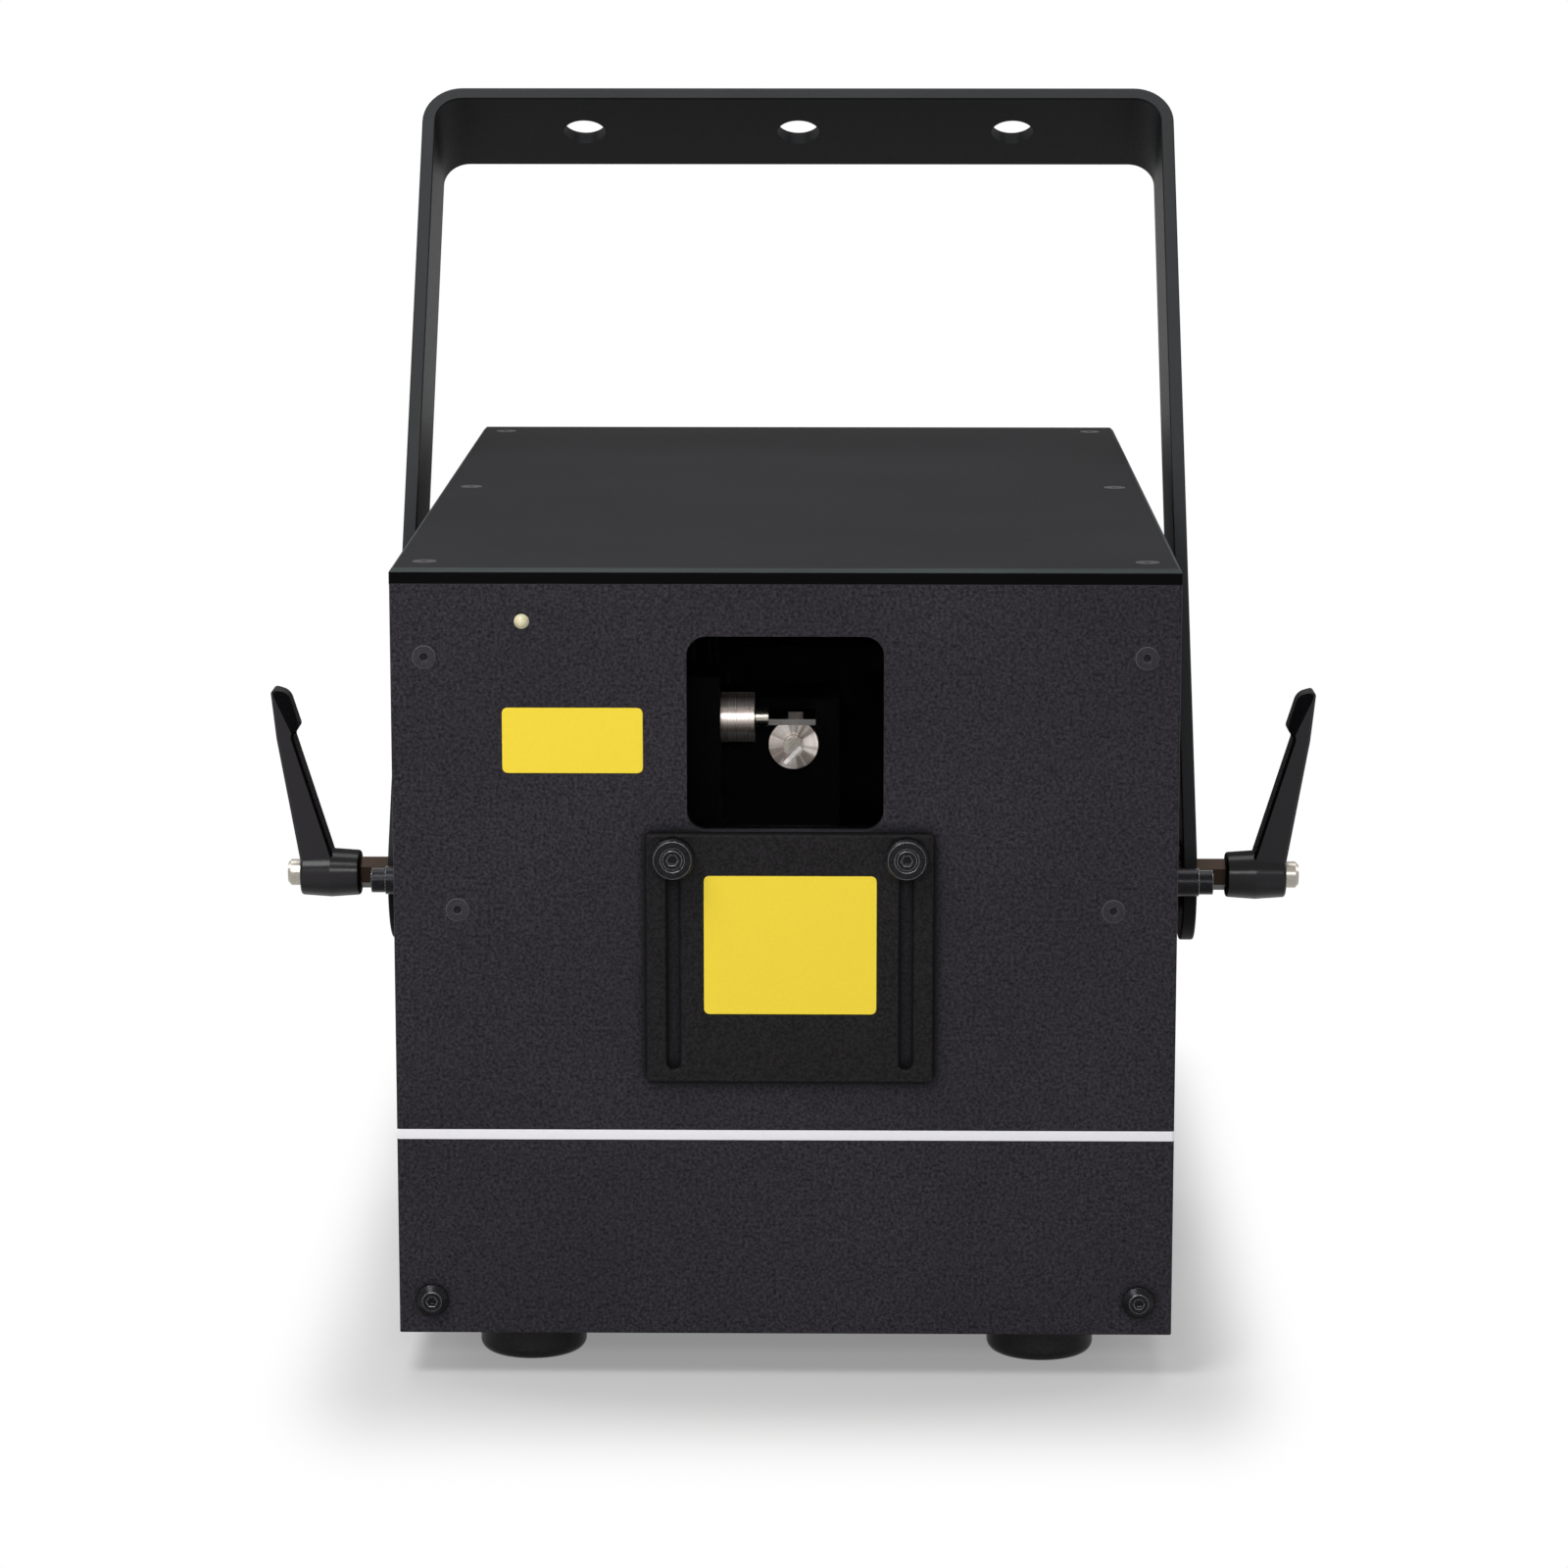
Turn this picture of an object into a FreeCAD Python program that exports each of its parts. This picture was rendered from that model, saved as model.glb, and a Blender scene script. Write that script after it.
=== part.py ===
import FreeCAD, Part
import Sketcher
import os

os.makedirs("parts", exist_ok=True)
doc = FreeCAD.newDocument("laser_show_projector")
V = FreeCAD.Vector

# Driving sizes in mm and degrees. Depths run back from the front face, drops run down from the lid top.
SIZES = {
    "body_width": 200.0,
    "body_depth": 325.0,
    "body_height": 200.0,
    "front_setback": 168.7,
    "lid_thickness": 4.0,
    "lid_chamfer": 1.0,
    "front_thickness": 4.0,
    "front_corner": 0.8,
    "sheet": 2.0,
    "flange_width": 20.0,
    "aperture_side": 50.0,
    "aperture_radius": 5.0,
    "aperture_drop": 42.3,
    "glass_margin": 4.0,
    "glass_thickness": 2.0,
    "retainer_margin": 5.0,
    "shutter_thickness": 2.0,
    "shutter_corner": 1.0,
    "shutter_edge": 0.4,
    "shutter_drop": 67.9,
    "shutter_shift": 1.2,
    "slide_gap": 0.3,
    "slot_width": 3.6,
    "slot_spacing": 59.4,
    "slot_side_margin": 6.9,
    "slot_end_margin": 3.2,
    "slot_below": 54.0,
    "slot_above": 0.4,
    "knob_drop": 73.5,
    "knob_radius": 5.4,
    "knob_height": 5.0,
    "knob_shank": 1.5,
    "running_gap": 0.05,
    "led_inset": 33.4,
    "led_drop": 13.5,
    "led_radius": 1.9,
    "front_screw_inset": 8.6,
    "front_screw_drop": 22.7,
    "mid_screw_inset": 16.3,
    "mid_screw_drop": 88.0,
    "low_screw_rise": 8.8,
    "lid_screw_inset": 8.0,
    "lid_screw_end": 13.0,
    "screw_radius": 1.5,
    "screw_head": 3.0,
    "screw_length": 9.0,
    "button_head": 4.0,
    "foot_height": 12.0,
    "foot_radius": 14.0,
    "foot_edge": 2.5,
    "foot_side": 33.0,
    "foot_inset": 28.0,
    "pivot_depth": 172.0,
    "pivot_drop": 113.5,
    "pivot_gap": 0.15,
    "arm_clearance": 12.25,
    "bracket_reach": 258.5,
    "bracket_tilt": 35.7,
    "strap_width": 38.0,
    "strap_thickness": 4.0,
    "strap_bend": 12.0,
    "strap_edge": 0.5,
    "rig_hole": 6.5,
    "rig_spacing": 67.0,
    "stud_radius": 3.0,
    "spacer_radius": 10.0,
    "stop_forward": 23.7,
    "stop_rise": 2.5,
    "sleeve_radius": 4.0,
    "stop_head": 3.5,
    "stop_head_height": 4.0,
    "hex_flats": 8.0,
    "hex_length": 9.1,
    "hub_length": 17.4,
    "hub_radius": 7.1,
    "hub_taper": 0.6,
    "cap_radius": 3.85,
    "cap_proud": 3.8,
    "cap_edge": 0.9,
    "lever_lift": 3.5,
    "hub_edge": 0.9,
    "lever_height": 54.6,
    "lever_width": 10.0,
    "lever_chamfer": 0.8,
    "lever_tip": 3.6,
    "lever_nose": 1.0,
    "lever_notch": 1.5,
    "thumb_slope": 25.0,
    "bench_drop": 77.0,
    "bench_thickness": 8.0,
    "bench_depth": 236.0,
    "galvo_radius": 6.5,
    "galvo_depth": 40.0,
    "galvo_x_drop": 44.7,
    "galvo_y_drop": 53.1,
    "galvo_y_side": 1.6,
    "mirror_length": 12.3,
    "mirror_width": 6.0,
    "mirror_thickness": 1.0,
    "beam_margin": 28.0,
    "supply_height": 50.0,
    "supply_depth": 160.0,
    "driver_width": 36.0,
    "driver_depth": 150.0,
    "scan_card_width": 34.0,
    "scan_card_depth": 120.0,
    "card_thickness": 2.0,
    "card_margin": 4.0,
    "card_gap": 11.0,
    "control_drop": 18.0,
    "control_gap": 22.0,
    "fan_side": 80.0,
    "fan_depth": 25.0,
    "fan_rise": 10.0,
    "fan_margin": 2.0,
    "inlet_rise": 32.0,
    "rocker_rise": 66.0,
    "rocker_tip": 10.0,
    "key_rise": 92.0,
    "socket_drop": 44.0,
    "socket_margin": 14.0,
    "socket_spacing": 28.0,
    "signal_drop": 36.0,
    "signal_margin": 28.0,
    "lug_margin": 17.0,
    "lug_drop": 62.0,
    "lug_screw_below": 24.0,
    "lug_reach": 20.0,
    "lug_hole": 6.0,
    "lug_thickness": 4.0,
}
sheet = doc.addObject("Spreadsheet::Sheet", "sz")
for row, (alias, value) in enumerate(SIZES.items(), 1):
    sheet.set("A%d" % row, alias)
    sheet.set("B%d" % row, str(value))
    sheet.setAlias("B%d" % row, alias)
doc.recompute()

# Places that follow from the sizes, as expression text
TOP = "(sz.foot_height + sz.body_height)"
FRONT = "(-sz.front_setback)"
BACK = "(sz.body_depth - sz.front_setback)"
SIDE = "(sz.body_width / 2)"
WALL = "(sz.body_width / 2 - sz.sheet)"
LID_Z = "(%s - sz.lid_thickness)" % TOP
FLOOR_Z = "(sz.foot_height + sz.sheet)"
FRONT_IN = "(%s + sz.front_thickness)" % FRONT
BACK_IN = "(%s - sz.sheet)" % BACK
PIVOT_Y = "(%s + sz.pivot_depth)" % FRONT
PIVOT_Z = "(%s - sz.pivot_drop)" % TOP
ARM_IN = "(%s + sz.arm_clearance)" % SIDE
ARM_OUT = "(%s + sz.strap_thickness)" % ARM_IN
BENCH_Z = "(%s - sz.bench_drop)" % TOP
BEAM_Z = "(%s - sz.galvo_y_drop)" % TOP
HEX_X = "(%s + sz.pivot_gap)" % ARM_OUT
HUB_X = "(%s + sz.hex_length + sz.pivot_gap)" % HEX_X
STOP_Y = "(%s - sz.stop_forward)" % PIVOT_Y
STOP_Z = "(%s + sz.stop_rise)" % PIVOT_Z
LUG_X = "(%s - sz.lug_margin)" % SIDE
LUG_Z = "(%s - sz.lug_drop)" % TOP
LED_X = "(sz.led_inset - %s)" % SIDE
BEAM_X = "(%s - sz.beam_margin)" % WALL
FLANGE_X = "(%s - sz.flange_width)" % SIDE
FAN_X = "(%s - sz.fan_margin - sz.fan_side / 2)" % FLANGE_X
FAN_Z = "(%s + sz.fan_rise + sz.fan_side / 2)" % FLOOR_Z

TURN = {
    "x": FreeCAD.Rotation(V(0, 1, 0), 90),
    "-x": FreeCAD.Rotation(V(0, 1, 0), -90),
    "y": FreeCAD.Rotation(V(1, 0, 0), -90),
    "-y": FreeCAD.Rotation(V(1, 0, 0), 90),
    "z": FreeCAD.Rotation(),
    "-z": FreeCAD.Rotation(V(1, 0, 0), 180),
}
SIDES = {"left": -1, "right": 1}
NODES = {}


def behind(text):
    """Expression for a depth behind the front face."""
    return "(%s + (%s))" % (FRONT, text)


def below(text):
    """Expression for a drop below the lid top."""
    return "(%s - (%s))" % (TOP, text)


def signed(side, text):
    """Expression mirrored to the left for side -1."""
    return "(%d * (%s))" % (side, text)


def node(obj):
    """Keep a finished sub-part under its own name."""
    NODES[obj.Label] = obj
    return obj


def put(obj, at):
    """Bind the position of an object to three expressions."""
    for axis, text in zip("xyz", at):
        obj.setExpression("Placement.Base." + axis, text)
    return obj


def box(name, size, at):
    """Box from its least corner."""
    obj = doc.addObject("Part::Box", name)
    for prop, text in zip(("Length", "Width", "Height"), size):
        obj.setExpression(prop, text)
    return put(obj, at)


def slab(name, size, at):
    """Box centred in X on at[0], from at[1] back and from at[2] up."""
    return box(name, size, ("(%s) - (%s) / 2" % (at[0], size[0]), at[1], at[2]))


def cyl(name, radius, height, at, axis="z"):
    """Cylinder along a signed axis from its start point."""
    obj = doc.addObject("Part::Cylinder", name)
    obj.Placement = FreeCAD.Placement(V(), TURN[axis])
    obj.setExpression("Radius", radius)
    obj.setExpression("Height", height)
    return put(obj, at)


def cone(name, start, end, height, at, axis="z"):
    """Cone frustum along a signed axis."""
    obj = doc.addObject("Part::Cone", name)
    obj.Placement = FreeCAD.Placement(V(), TURN[axis])
    obj.setExpression("Radius1", start)
    obj.setExpression("Radius2", end)
    obj.setExpression("Height", height)
    return put(obj, at)


def hexagon(name, flats, height, at, axis="z"):
    """Hexagon prism by its width across flats."""
    obj = doc.addObject("Part::Prism", name)
    obj.Polygon = 6
    obj.Placement = FreeCAD.Placement(V(), TURN[axis])
    obj.setExpression("Circumradius", "(%s) / sqrt(3)" % flats)
    obj.setExpression("Height", height)
    return put(obj, at)


def fuse(name, shapes):
    """Boolean union."""
    obj = doc.addObject("Part::MultiFuse", name)
    obj.Shapes = shapes
    obj.Refine = True
    return obj


def cut(name, base, tools):
    """Boolean difference."""
    obj = doc.addObject("Part::Cut", name)
    obj.Base = base
    obj.Tool = tools[0] if len(tools) == 1 else fuse(name + "_tools", tools)
    obj.Refine = True
    return obj


def group(name, shapes):
    """Separate solids that share one node."""
    obj = doc.addObject("Part::Compound", name)
    obj.Links = shapes
    return obj


def new_sketch(body, name, role, offset):
    """Sketch on an origin plane of the body, moved by three expressions."""
    sketch = body.newObject("Sketcher::SketchObject", name)
    plane = [f for f in body.Origin.OriginFeatures if f.Role == role][0]
    sketch.AttachmentSupport = [(plane, "")]
    sketch.MapMode = "FlatFace"
    for axis, text in zip("xyz", offset):
        sketch.setExpression("AttachmentOffset.Base." + axis, text)
    return sketch


def dimension(sketch, name, kind, args, text):
    """Driving constraint bound to an expression."""
    number = float(sheet.evalExpression(text))
    index = sketch.addConstraint(Sketcher.Constraint(kind, *args, number))
    sketch.renameConstraint(index, name)
    sketch.setExpression("Constraints." + name, text)


def rectangle(body, name, role, size, offset):
    """Rectangle sketch from its lower left corner at the sketch origin."""
    sketch = new_sketch(body, name, role, offset)
    wide = float(sheet.evalExpression(size[0]))
    tall = float(sheet.evalExpression(size[1]))
    corners = [V(0, 0, 0), V(wide, 0, 0), V(wide, tall, 0), V(0, tall, 0)]
    for i in range(4):
        sketch.addGeometry(Part.LineSegment(corners[i], corners[(i + 1) % 4]))
    for i in range(4):
        sketch.addConstraint(Sketcher.Constraint("Coincident", i, 2, (i + 1) % 4, 1))
    for i, kind in enumerate(("Horizontal", "Vertical", "Horizontal", "Vertical")):
        sketch.addConstraint(Sketcher.Constraint(kind, i))
    sketch.addConstraint(Sketcher.Constraint("Coincident", 0, 1, -1, 1))
    dimension(sketch, "wide", "DistanceX", (0, 1, 0, 2), size[0])
    dimension(sketch, "tall", "DistanceY", (1, 1, 1, 2), size[1])
    return sketch


def polygon(body, name, role, corners):
    """Closed sketch of straight lines through corners given as pairs of expressions."""
    sketch = new_sketch(body, name, role, ("0", "0", "0"))
    places = [[float(sheet.evalExpression(text)) for text in corner] for corner in corners]
    count = len(corners)
    for i in range(count):
        sketch.addGeometry(Part.LineSegment(V(*places[i], 0), V(*places[(i + 1) % count], 0)))
    for i in range(count):
        sketch.addConstraint(Sketcher.Constraint("Coincident", i, 2, (i + 1) % count, 1))
    for i, corner in enumerate(corners):
        for kind, text in zip(("DistanceX", "DistanceY"), corner):
            dimension(sketch, "%s_%d" % (kind, i), kind, (-1, 1, i, 1), text)
    return sketch


def circle(body, name, role, radius, offset):
    """Circle sketch about the sketch origin."""
    sketch = new_sketch(body, name, role, offset)
    number = float(sheet.evalExpression(radius))
    sketch.addGeometry(Part.Circle(V(), V(0, 0, 1), number))
    sketch.addConstraint(Sketcher.Constraint("Coincident", 0, 3, -1, 1))
    dimension(sketch, "radius", "Radius", (0,), radius)
    return sketch


def pad(body, name, sketch, length, side="One side", reverse=False):
    """Pad a sketch."""
    feature = body.newObject("PartDesign::Pad", name)
    feature.Profile = sketch
    feature.SideType = side
    feature.Reversed = reverse
    feature.setExpression("Length", length)
    body.Tip = feature
    doc.recompute()
    return feature


def pocket(body, name, sketch):
    """Pocket a sketch right through on both sides."""
    feature = body.newObject("PartDesign::Pocket", name)
    feature.Profile = sketch
    feature.SideType = "Symmetric"
    feature.Type = "ThroughAll"
    body.Tip = feature
    doc.recompute()
    return feature


def edges_where(feature, test):
    """Names of the edges of a feature whose midpoint passes a test."""
    names = []
    for i, edge in enumerate(feature.Shape.Edges, 1):
        middle = edge.valueAt((edge.FirstParameter + edge.LastParameter) / 2)
        if test(edge, middle):
            names.append("Edge%d" % i)
    return names


def dress(body, kind, name, base, test, prop, text):
    """Fillet or chamfer on the edges that pass a test."""
    feature = body.newObject("PartDesign::" + kind, name)
    feature.Base = (base, edges_where(base, test))
    feature.setExpression(prop, text)
    body.Tip = feature
    doc.recompute()
    return feature


def along(edge, axis):
    """True for a straight edge along one axis."""
    if edge.Curve.TypeId != "Part::GeomLine":
        return False
    return abs(getattr(edge.Curve.Direction, axis)) > 0.999


def block(name, size, at, turn):
    """Body of a box centred on its own origin, then placed and turned."""
    body = doc.addObject("PartDesign::Body", name)
    offset = ["-(%s) / 2" % text for text in size]
    pad(body, name + "_pad", rectangle(body, name + "_outline", "XY_Plane", size[:2], offset), size[2])
    body.Placement = FreeCAD.Placement(V(), turn)
    return put(body, at)


def sunk_screws(name, places, axis):
    """Countersunk screws with hexagon sockets; returns them and the blanks that cut their seats."""
    blanks = []
    sockets = []
    for i, at in enumerate(places):
        tag = "%s_%d" % (name, i)
        depth = "sz.screw_head - sz.screw_radius"
        head = cone(tag + "_head", "sz.screw_head", "sz.screw_radius", depth, at, axis)
        shank = cyl(tag + "_shank", "sz.screw_radius", "sz.screw_length", at, axis)
        blanks.append(fuse(tag + "_blank", [head, shank]))
        sockets.append(hexagon(tag + "_socket", "sz.screw_radius * 4 / 3", "sz.screw_radius", at, axis))
    seats = group(name + "_seats", blanks)
    return cut(name, seats, sockets), seats


def round_screws(name, places, axis, outward, radius, shank):
    """Low round-head screws with hexagon sockets; returns them and their shanks as cutting tools."""
    shanks = []
    solids = []
    for i, at in enumerate(places):
        tag = "%s_%d" % (name, i)
        stem = cyl(tag + "_stem", shank, "sz.screw_length", at, axis)
        rim = cyl(tag + "_rim", radius, "%s * 0.2" % radius, at, outward)
        rise = ["%s" % text for text in at]
        index = "xyz".index(outward[-1])
        sign = -1 if outward[0] == "-" else 1
        rise[index] = "%s + %d * (%s * 0.2)" % (at[index], sign, radius)
        dome = cone(tag + "_dome", radius, "%s * 0.62" % radius, "%s * 0.36" % radius, rise, outward)
        blank = fuse(tag + "_blank", [stem, rim, dome])
        top = list(at)
        top[index] = "%s + %d * (%s * 0.56)" % (at[index], sign, radius)
        socket = hexagon(tag + "_socket", "%s * 0.6" % radius, "%s * 0.5" % radius, top, axis)
        solids.append(cut(tag + "_done", blank, [socket]))
        shanks.append(stem)
    return group(name, solids), group(name + "_shanks", shanks)


def lid_places():
    """Six lid screw heads at the lid top."""
    places = []
    for depth in ("sz.lid_screw_end", "sz.body_depth / 2 + 6", "sz.body_depth - sz.lid_screw_end"):
        for side in (-1, 1):
            places.append((signed(side, SIDE + " - sz.lid_screw_inset"), behind(depth), TOP))
    return places


def front_places():
    """Four countersunk front screw heads."""
    places = []
    for row in ("front", "mid"):
        for side in (-1, 1):
            x = signed(side, "%s - sz.%s_screw_inset" % (SIDE, row))
            places.append((x, FRONT, below("sz.%s_screw_drop" % row)))
    return places


def rear_places():
    """Six rear panel screws."""
    places = []
    for drop in ("sz.body_height * 0.06", "sz.lug_drop + sz.lug_screw_below", "sz.body_height * 0.94"):
        for side in (-1, 1):
            places.append((signed(side, SIDE + " - sz.flange_width / 2"), BACK, below(drop)))
    return places


def base_places():
    """Six countersunk base screws, heads on the underside."""
    places = []
    for depth in ("sz.body_depth * 0.2", "sz.body_depth * 0.5", "sz.body_depth * 0.94"):
        for side in (-1, 1):
            places.append((signed(side, SIDE + " - sz.flange_width / 2"), behind(depth), "sz.foot_height"))
    return places


def lug_places():
    """Two screws through opposite corners of the foot of the safety lug, clear of its eye."""
    places = []
    for side in (-1, 1):
        x = "%s + %d * 8.5" % (LUG_X, side)
        places.append((x, BACK + " + sz.lug_thickness", "%s + %d * 10.5" % (LUG_Z, side)))
    return places


def make_screws():
    """All fixing screws, identical ones in one node, and the tools that cut their holes."""
    lid, lid_seats = sunk_screws("lid_screws", lid_places(), "-z")
    front, front_seats = sunk_screws("front_screws", front_places(), "y")
    base, base_seats = sunk_screws("base_screws", base_places(), "z")
    node(group("countersunk_screws", [lid, front, base]))
    x = SIDE + " - sz.front_screw_inset"
    places = [(signed(side, x), FRONT, "sz.foot_height + sz.low_screw_rise") for side in (-1, 1)]
    low, low_shanks = round_screws("low_screws", places, "y", "-y", "sz.button_head", "sz.screw_radius")
    node(group("button_head_screws", [low]))
    small = ("-y", "y", "sz.screw_head", "sz.screw_radius")
    rear, rear_shanks = round_screws("rear_screws", rear_places(), *small)
    lug, lug_shanks = round_screws("lug_screws", lug_places(), *small)
    node(group("round_head_screws", [rear, lug]))
    return {"lid": lid_seats, "front": front_seats, "base": base_seats, "low": low_shanks,
            "rear": rear_shanks, "lug": lug_shanks}


def make_front_plate(tools):
    """Front plate: pad, aperture pocket with rounded corners, then screw seats."""
    body = doc.addObject("PartDesign::Body", "front_blank")
    outline = rectangle(body, "front_outline", "XZ_Plane", ("sz.body_width", LID_Z + " - sz.foot_height"),
                        ("-sz.body_width / 2", "sz.foot_height", "sz.front_setback"))
    plate = pad(body, "front_pad", outline, "sz.front_thickness", reverse=True)
    upright = lambda e, m: along(e, "z")
    dress(body, "Fillet", "front_corners", plate, upright, "Radius", "sz.front_corner")
    hole = rectangle(body, "aperture_outline", "XZ_Plane", ("sz.aperture_side", "sz.aperture_side"),
                     ("-sz.aperture_side / 2", below("sz.aperture_drop + sz.aperture_side / 2"), "0"))
    opened = pocket(body, "aperture_pocket", hole)
    half = SIZES["aperture_side"] / 2
    inner = lambda e, m: along(e, "y") and abs(abs(m.x) - half) < 0.01
    dress(body, "Fillet", "aperture_corners", opened, inner, "Radius", "sz.aperture_radius")
    holes = [cyl("led_hole", "sz.led_radius", "sz.front_thickness * 3",
                 (LED_X, behind("-sz.front_thickness"), below("sz.led_drop")), "y")]
    for name, side in SIDES.items():
        x = "sz.shutter_shift + " + signed(side, "sz.slot_spacing / 2")
        holes.append(cyl("knob_hole_" + name, "sz.knob_shank + sz.running_gap", "sz.front_thickness * 3",
                         (x, behind("-sz.front_thickness"), below("sz.knob_drop")), "y"))
    node(cut("front_plate", body, holes + [tools["front"], tools["low"]]))


def make_lid(tools):
    """Lid plate with a chamfer round its top and countersunk seats."""
    body = doc.addObject("PartDesign::Body", "lid_blank")
    outline = rectangle(body, "lid_outline", "XY_Plane", ("sz.body_width", "sz.body_depth"),
                        ("-sz.body_width / 2", FRONT, LID_Z))
    plate = pad(body, "lid_pad", outline, "sz.lid_thickness")
    top = SIZES["foot_height"] + SIZES["body_height"]
    dress(body, "Chamfer", "lid_edge", plate, lambda e, m: m.z > top - 0.001, "Size", "sz.lid_chamfer")
    node(cut("lid", body, [tools["lid"]]))


def make_base(tools, foot_holes):
    """Base sheet under the side walls."""
    depth = "sz.body_depth - sz.front_thickness - sz.sheet"
    plain = slab("base_blank", ("sz.body_width", depth, "sz.sheet"), ("0", FRONT_IN, "sz.foot_height"))
    node(cut("base_plate", plain, [tools["base"], foot_holes]))


def make_walls(tools, stop_shanks):
    """Side walls as folded trays with flanges, vent slots and screw holes."""
    depth = "sz.body_depth - sz.front_thickness - sz.sheet"
    height = "%s - %s" % (LID_Z, FLOOR_Z)
    for name, side in SIDES.items():
        x = "(%s - sz.flange_width)" % SIDE if side > 0 else "(-%s)" % SIDE
        inner_x = "(%s - 1)" % x if side > 0 else "(%s + sz.sheet)" % x
        outer = box("wall_outer_" + name, ("sz.flange_width", depth, height), (x, FRONT_IN, FLOOR_Z))
        inner = box("wall_inner_" + name,
                    ("sz.flange_width - sz.sheet + 1", depth + " - 2 * sz.sheet", height + " - 2 * sz.sheet"),
                    (inner_x, FRONT_IN + " + sz.sheet", FLOOR_Z + " + sz.sheet"))
        tools_here = [tools[row] for row in ("lid", "front", "low", "rear", "base")] + [inner, stop_shanks]
        start = (signed(side, SIDE + " + 1"), PIVOT_Y, PIVOT_Z)
        inward = "-x" if side > 0 else "x"
        tools_here.append(cyl("stud_hole_" + name, "sz.stud_radius + 0.2", "sz.sheet + 2", start, inward))
        for i in range(12):
            tools_here.append(box("vent_%s_%d" % (name, i), ("sz.sheet + 2", "3", "sz.body_height * 0.18"),
                                  (signed(side, SIDE) + (" - sz.sheet - 1" if side > 0 else " - 1"),
                                   behind("sz.body_depth * 0.66 + %d" % (8 * i)), FLOOR_Z + " + 14")))
        node(cut("side_wall_" + name, outer, tools_here))


def make_feet():
    """Four rubber feet with rounded lower edges and recessed screws."""
    feet = []
    screws = []
    holes = []
    for depth in ("sz.foot_inset", "sz.body_depth - sz.foot_inset"):
        for side in (-1, 1):
            tag = "%d" % len(feet)
            x = signed(side, SIDE + " - sz.foot_side")
            y = behind(depth)
            body = doc.addObject("PartDesign::Body", "foot_body_" + tag)
            ring = circle(body, "foot_round_" + tag, "XY_Plane", "sz.foot_radius", ("0", "0", "0"))
            disc = pad(body, "foot_pad_" + tag, ring, "sz.foot_height")
            lower = lambda e, m: m.z < 0.001 and not along(e, "z")
            dress(body, "Fillet", "foot_edge_" + tag, disc, lower, "Radius", "sz.foot_edge")
            put(body, (x, y, "0"))
            recess = cyl("foot_recess_" + tag, "4.5", "6", (x, y, "0"))
            head = cyl("foot_head_" + tag, "4", "3", (x, y, "3"))
            stem = cyl("foot_stem_" + tag, "2", "sz.foot_height", (x, y, "6"))
            cross = box("foot_cross_" + tag, ("5", "1", "1.5"), (x + " - 2.5", y + " - 0.5", "2.9"))
            feet.append(cut("foot_done_" + tag, body, [recess, stem]))
            screws.append(cut("foot_screw_" + tag, fuse("foot_bolt_" + tag, [head, stem]), [cross]))
            holes.append(stem)
    node(group("rubber_feet", feet))
    node(group("foot_screws", screws))
    return group("foot_holes", holes)


def make_window():
    """Window glass behind the aperture and the frame that holds it."""
    side = "sz.aperture_side + 2 * sz.glass_margin"
    low = below("sz.aperture_drop + sz.aperture_side / 2 + sz.glass_margin")
    glass = slab("window_glass", (side, "sz.glass_thickness", side), ("0", FRONT_IN, low))
    node(glass)
    frame_side = side + " + 2 * sz.retainer_margin"
    frame_low = low + " - sz.retainer_margin"
    frame_size = (frame_side, "sz.glass_thickness + 2", frame_side)
    frame = slab("retainer_blank", frame_size, ("0", FRONT_IN, frame_low))
    through = slab("retainer_opening", ("sz.aperture_side", "20", "sz.aperture_side"),
                   ("0", FRONT, low + " + sz.glass_margin"))
    node(cut("window_retainer", frame, [glass, through]))


def make_shutter():
    """Masking shutter with two slots, and its two clamp knobs."""
    body = doc.addObject("PartDesign::Body", "shutter_plate")
    wide = "(sz.slot_spacing + 2 * sz.slot_side_margin)"
    foot = "(sz.knob_drop + sz.slot_below + sz.slot_width / 2 + sz.slot_end_margin)"
    face = "sz.front_setback + sz.slide_gap"
    outline = rectangle(body, "shutter_outline", "XZ_Plane", (wide, foot + " - sz.shutter_drop"),
                        ("sz.shutter_shift - %s / 2" % wide, below(foot), face))
    plate = pad(body, "shutter_pad", outline, "sz.shutter_thickness")
    dress(body, "Fillet", "shutter_corners", plate, lambda e, m: along(e, "y"), "Radius", "sz.shutter_corner")
    for name, side in SIDES.items():
        x = "sz.shutter_shift + " + signed(side, "sz.slot_spacing / 2")
        ends = {"top": below("sz.knob_drop - sz.slot_above"), "low": below("sz.knob_drop + sz.slot_below")}
        size = ("sz.slot_width", "sz.slot_below + sz.slot_above")
        corner = (x + " - sz.slot_width / 2", ends["low"], "0")
        slot = rectangle(body, "slot_" + name, "XZ_Plane", size, corner)
        pocket(body, "slot_pocket_" + name, slot)
        for end, z in ends.items():
            tag = "%s_%s" % (end, name)
            ring = circle(body, "slot_round_" + tag, "XZ_Plane", "sz.slot_width / 2", (x, z, "0"))
            slotted = pocket(body, "slot_end_" + tag, ring)
    front = -sum(SIZES[size] for size in ("front_setback", "slide_gap", "shutter_thickness"))
    rims = lambda e, m: abs(m.y - front) < 0.001
    dress(body, "Chamfer", "shutter_rims", slotted, rims, "Size", "sz.shutter_edge")
    node(body)
    for name, side in SIDES.items():
        make_knob(name, "sz.shutter_shift + " + signed(side, "sz.slot_spacing / 2"))


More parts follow.
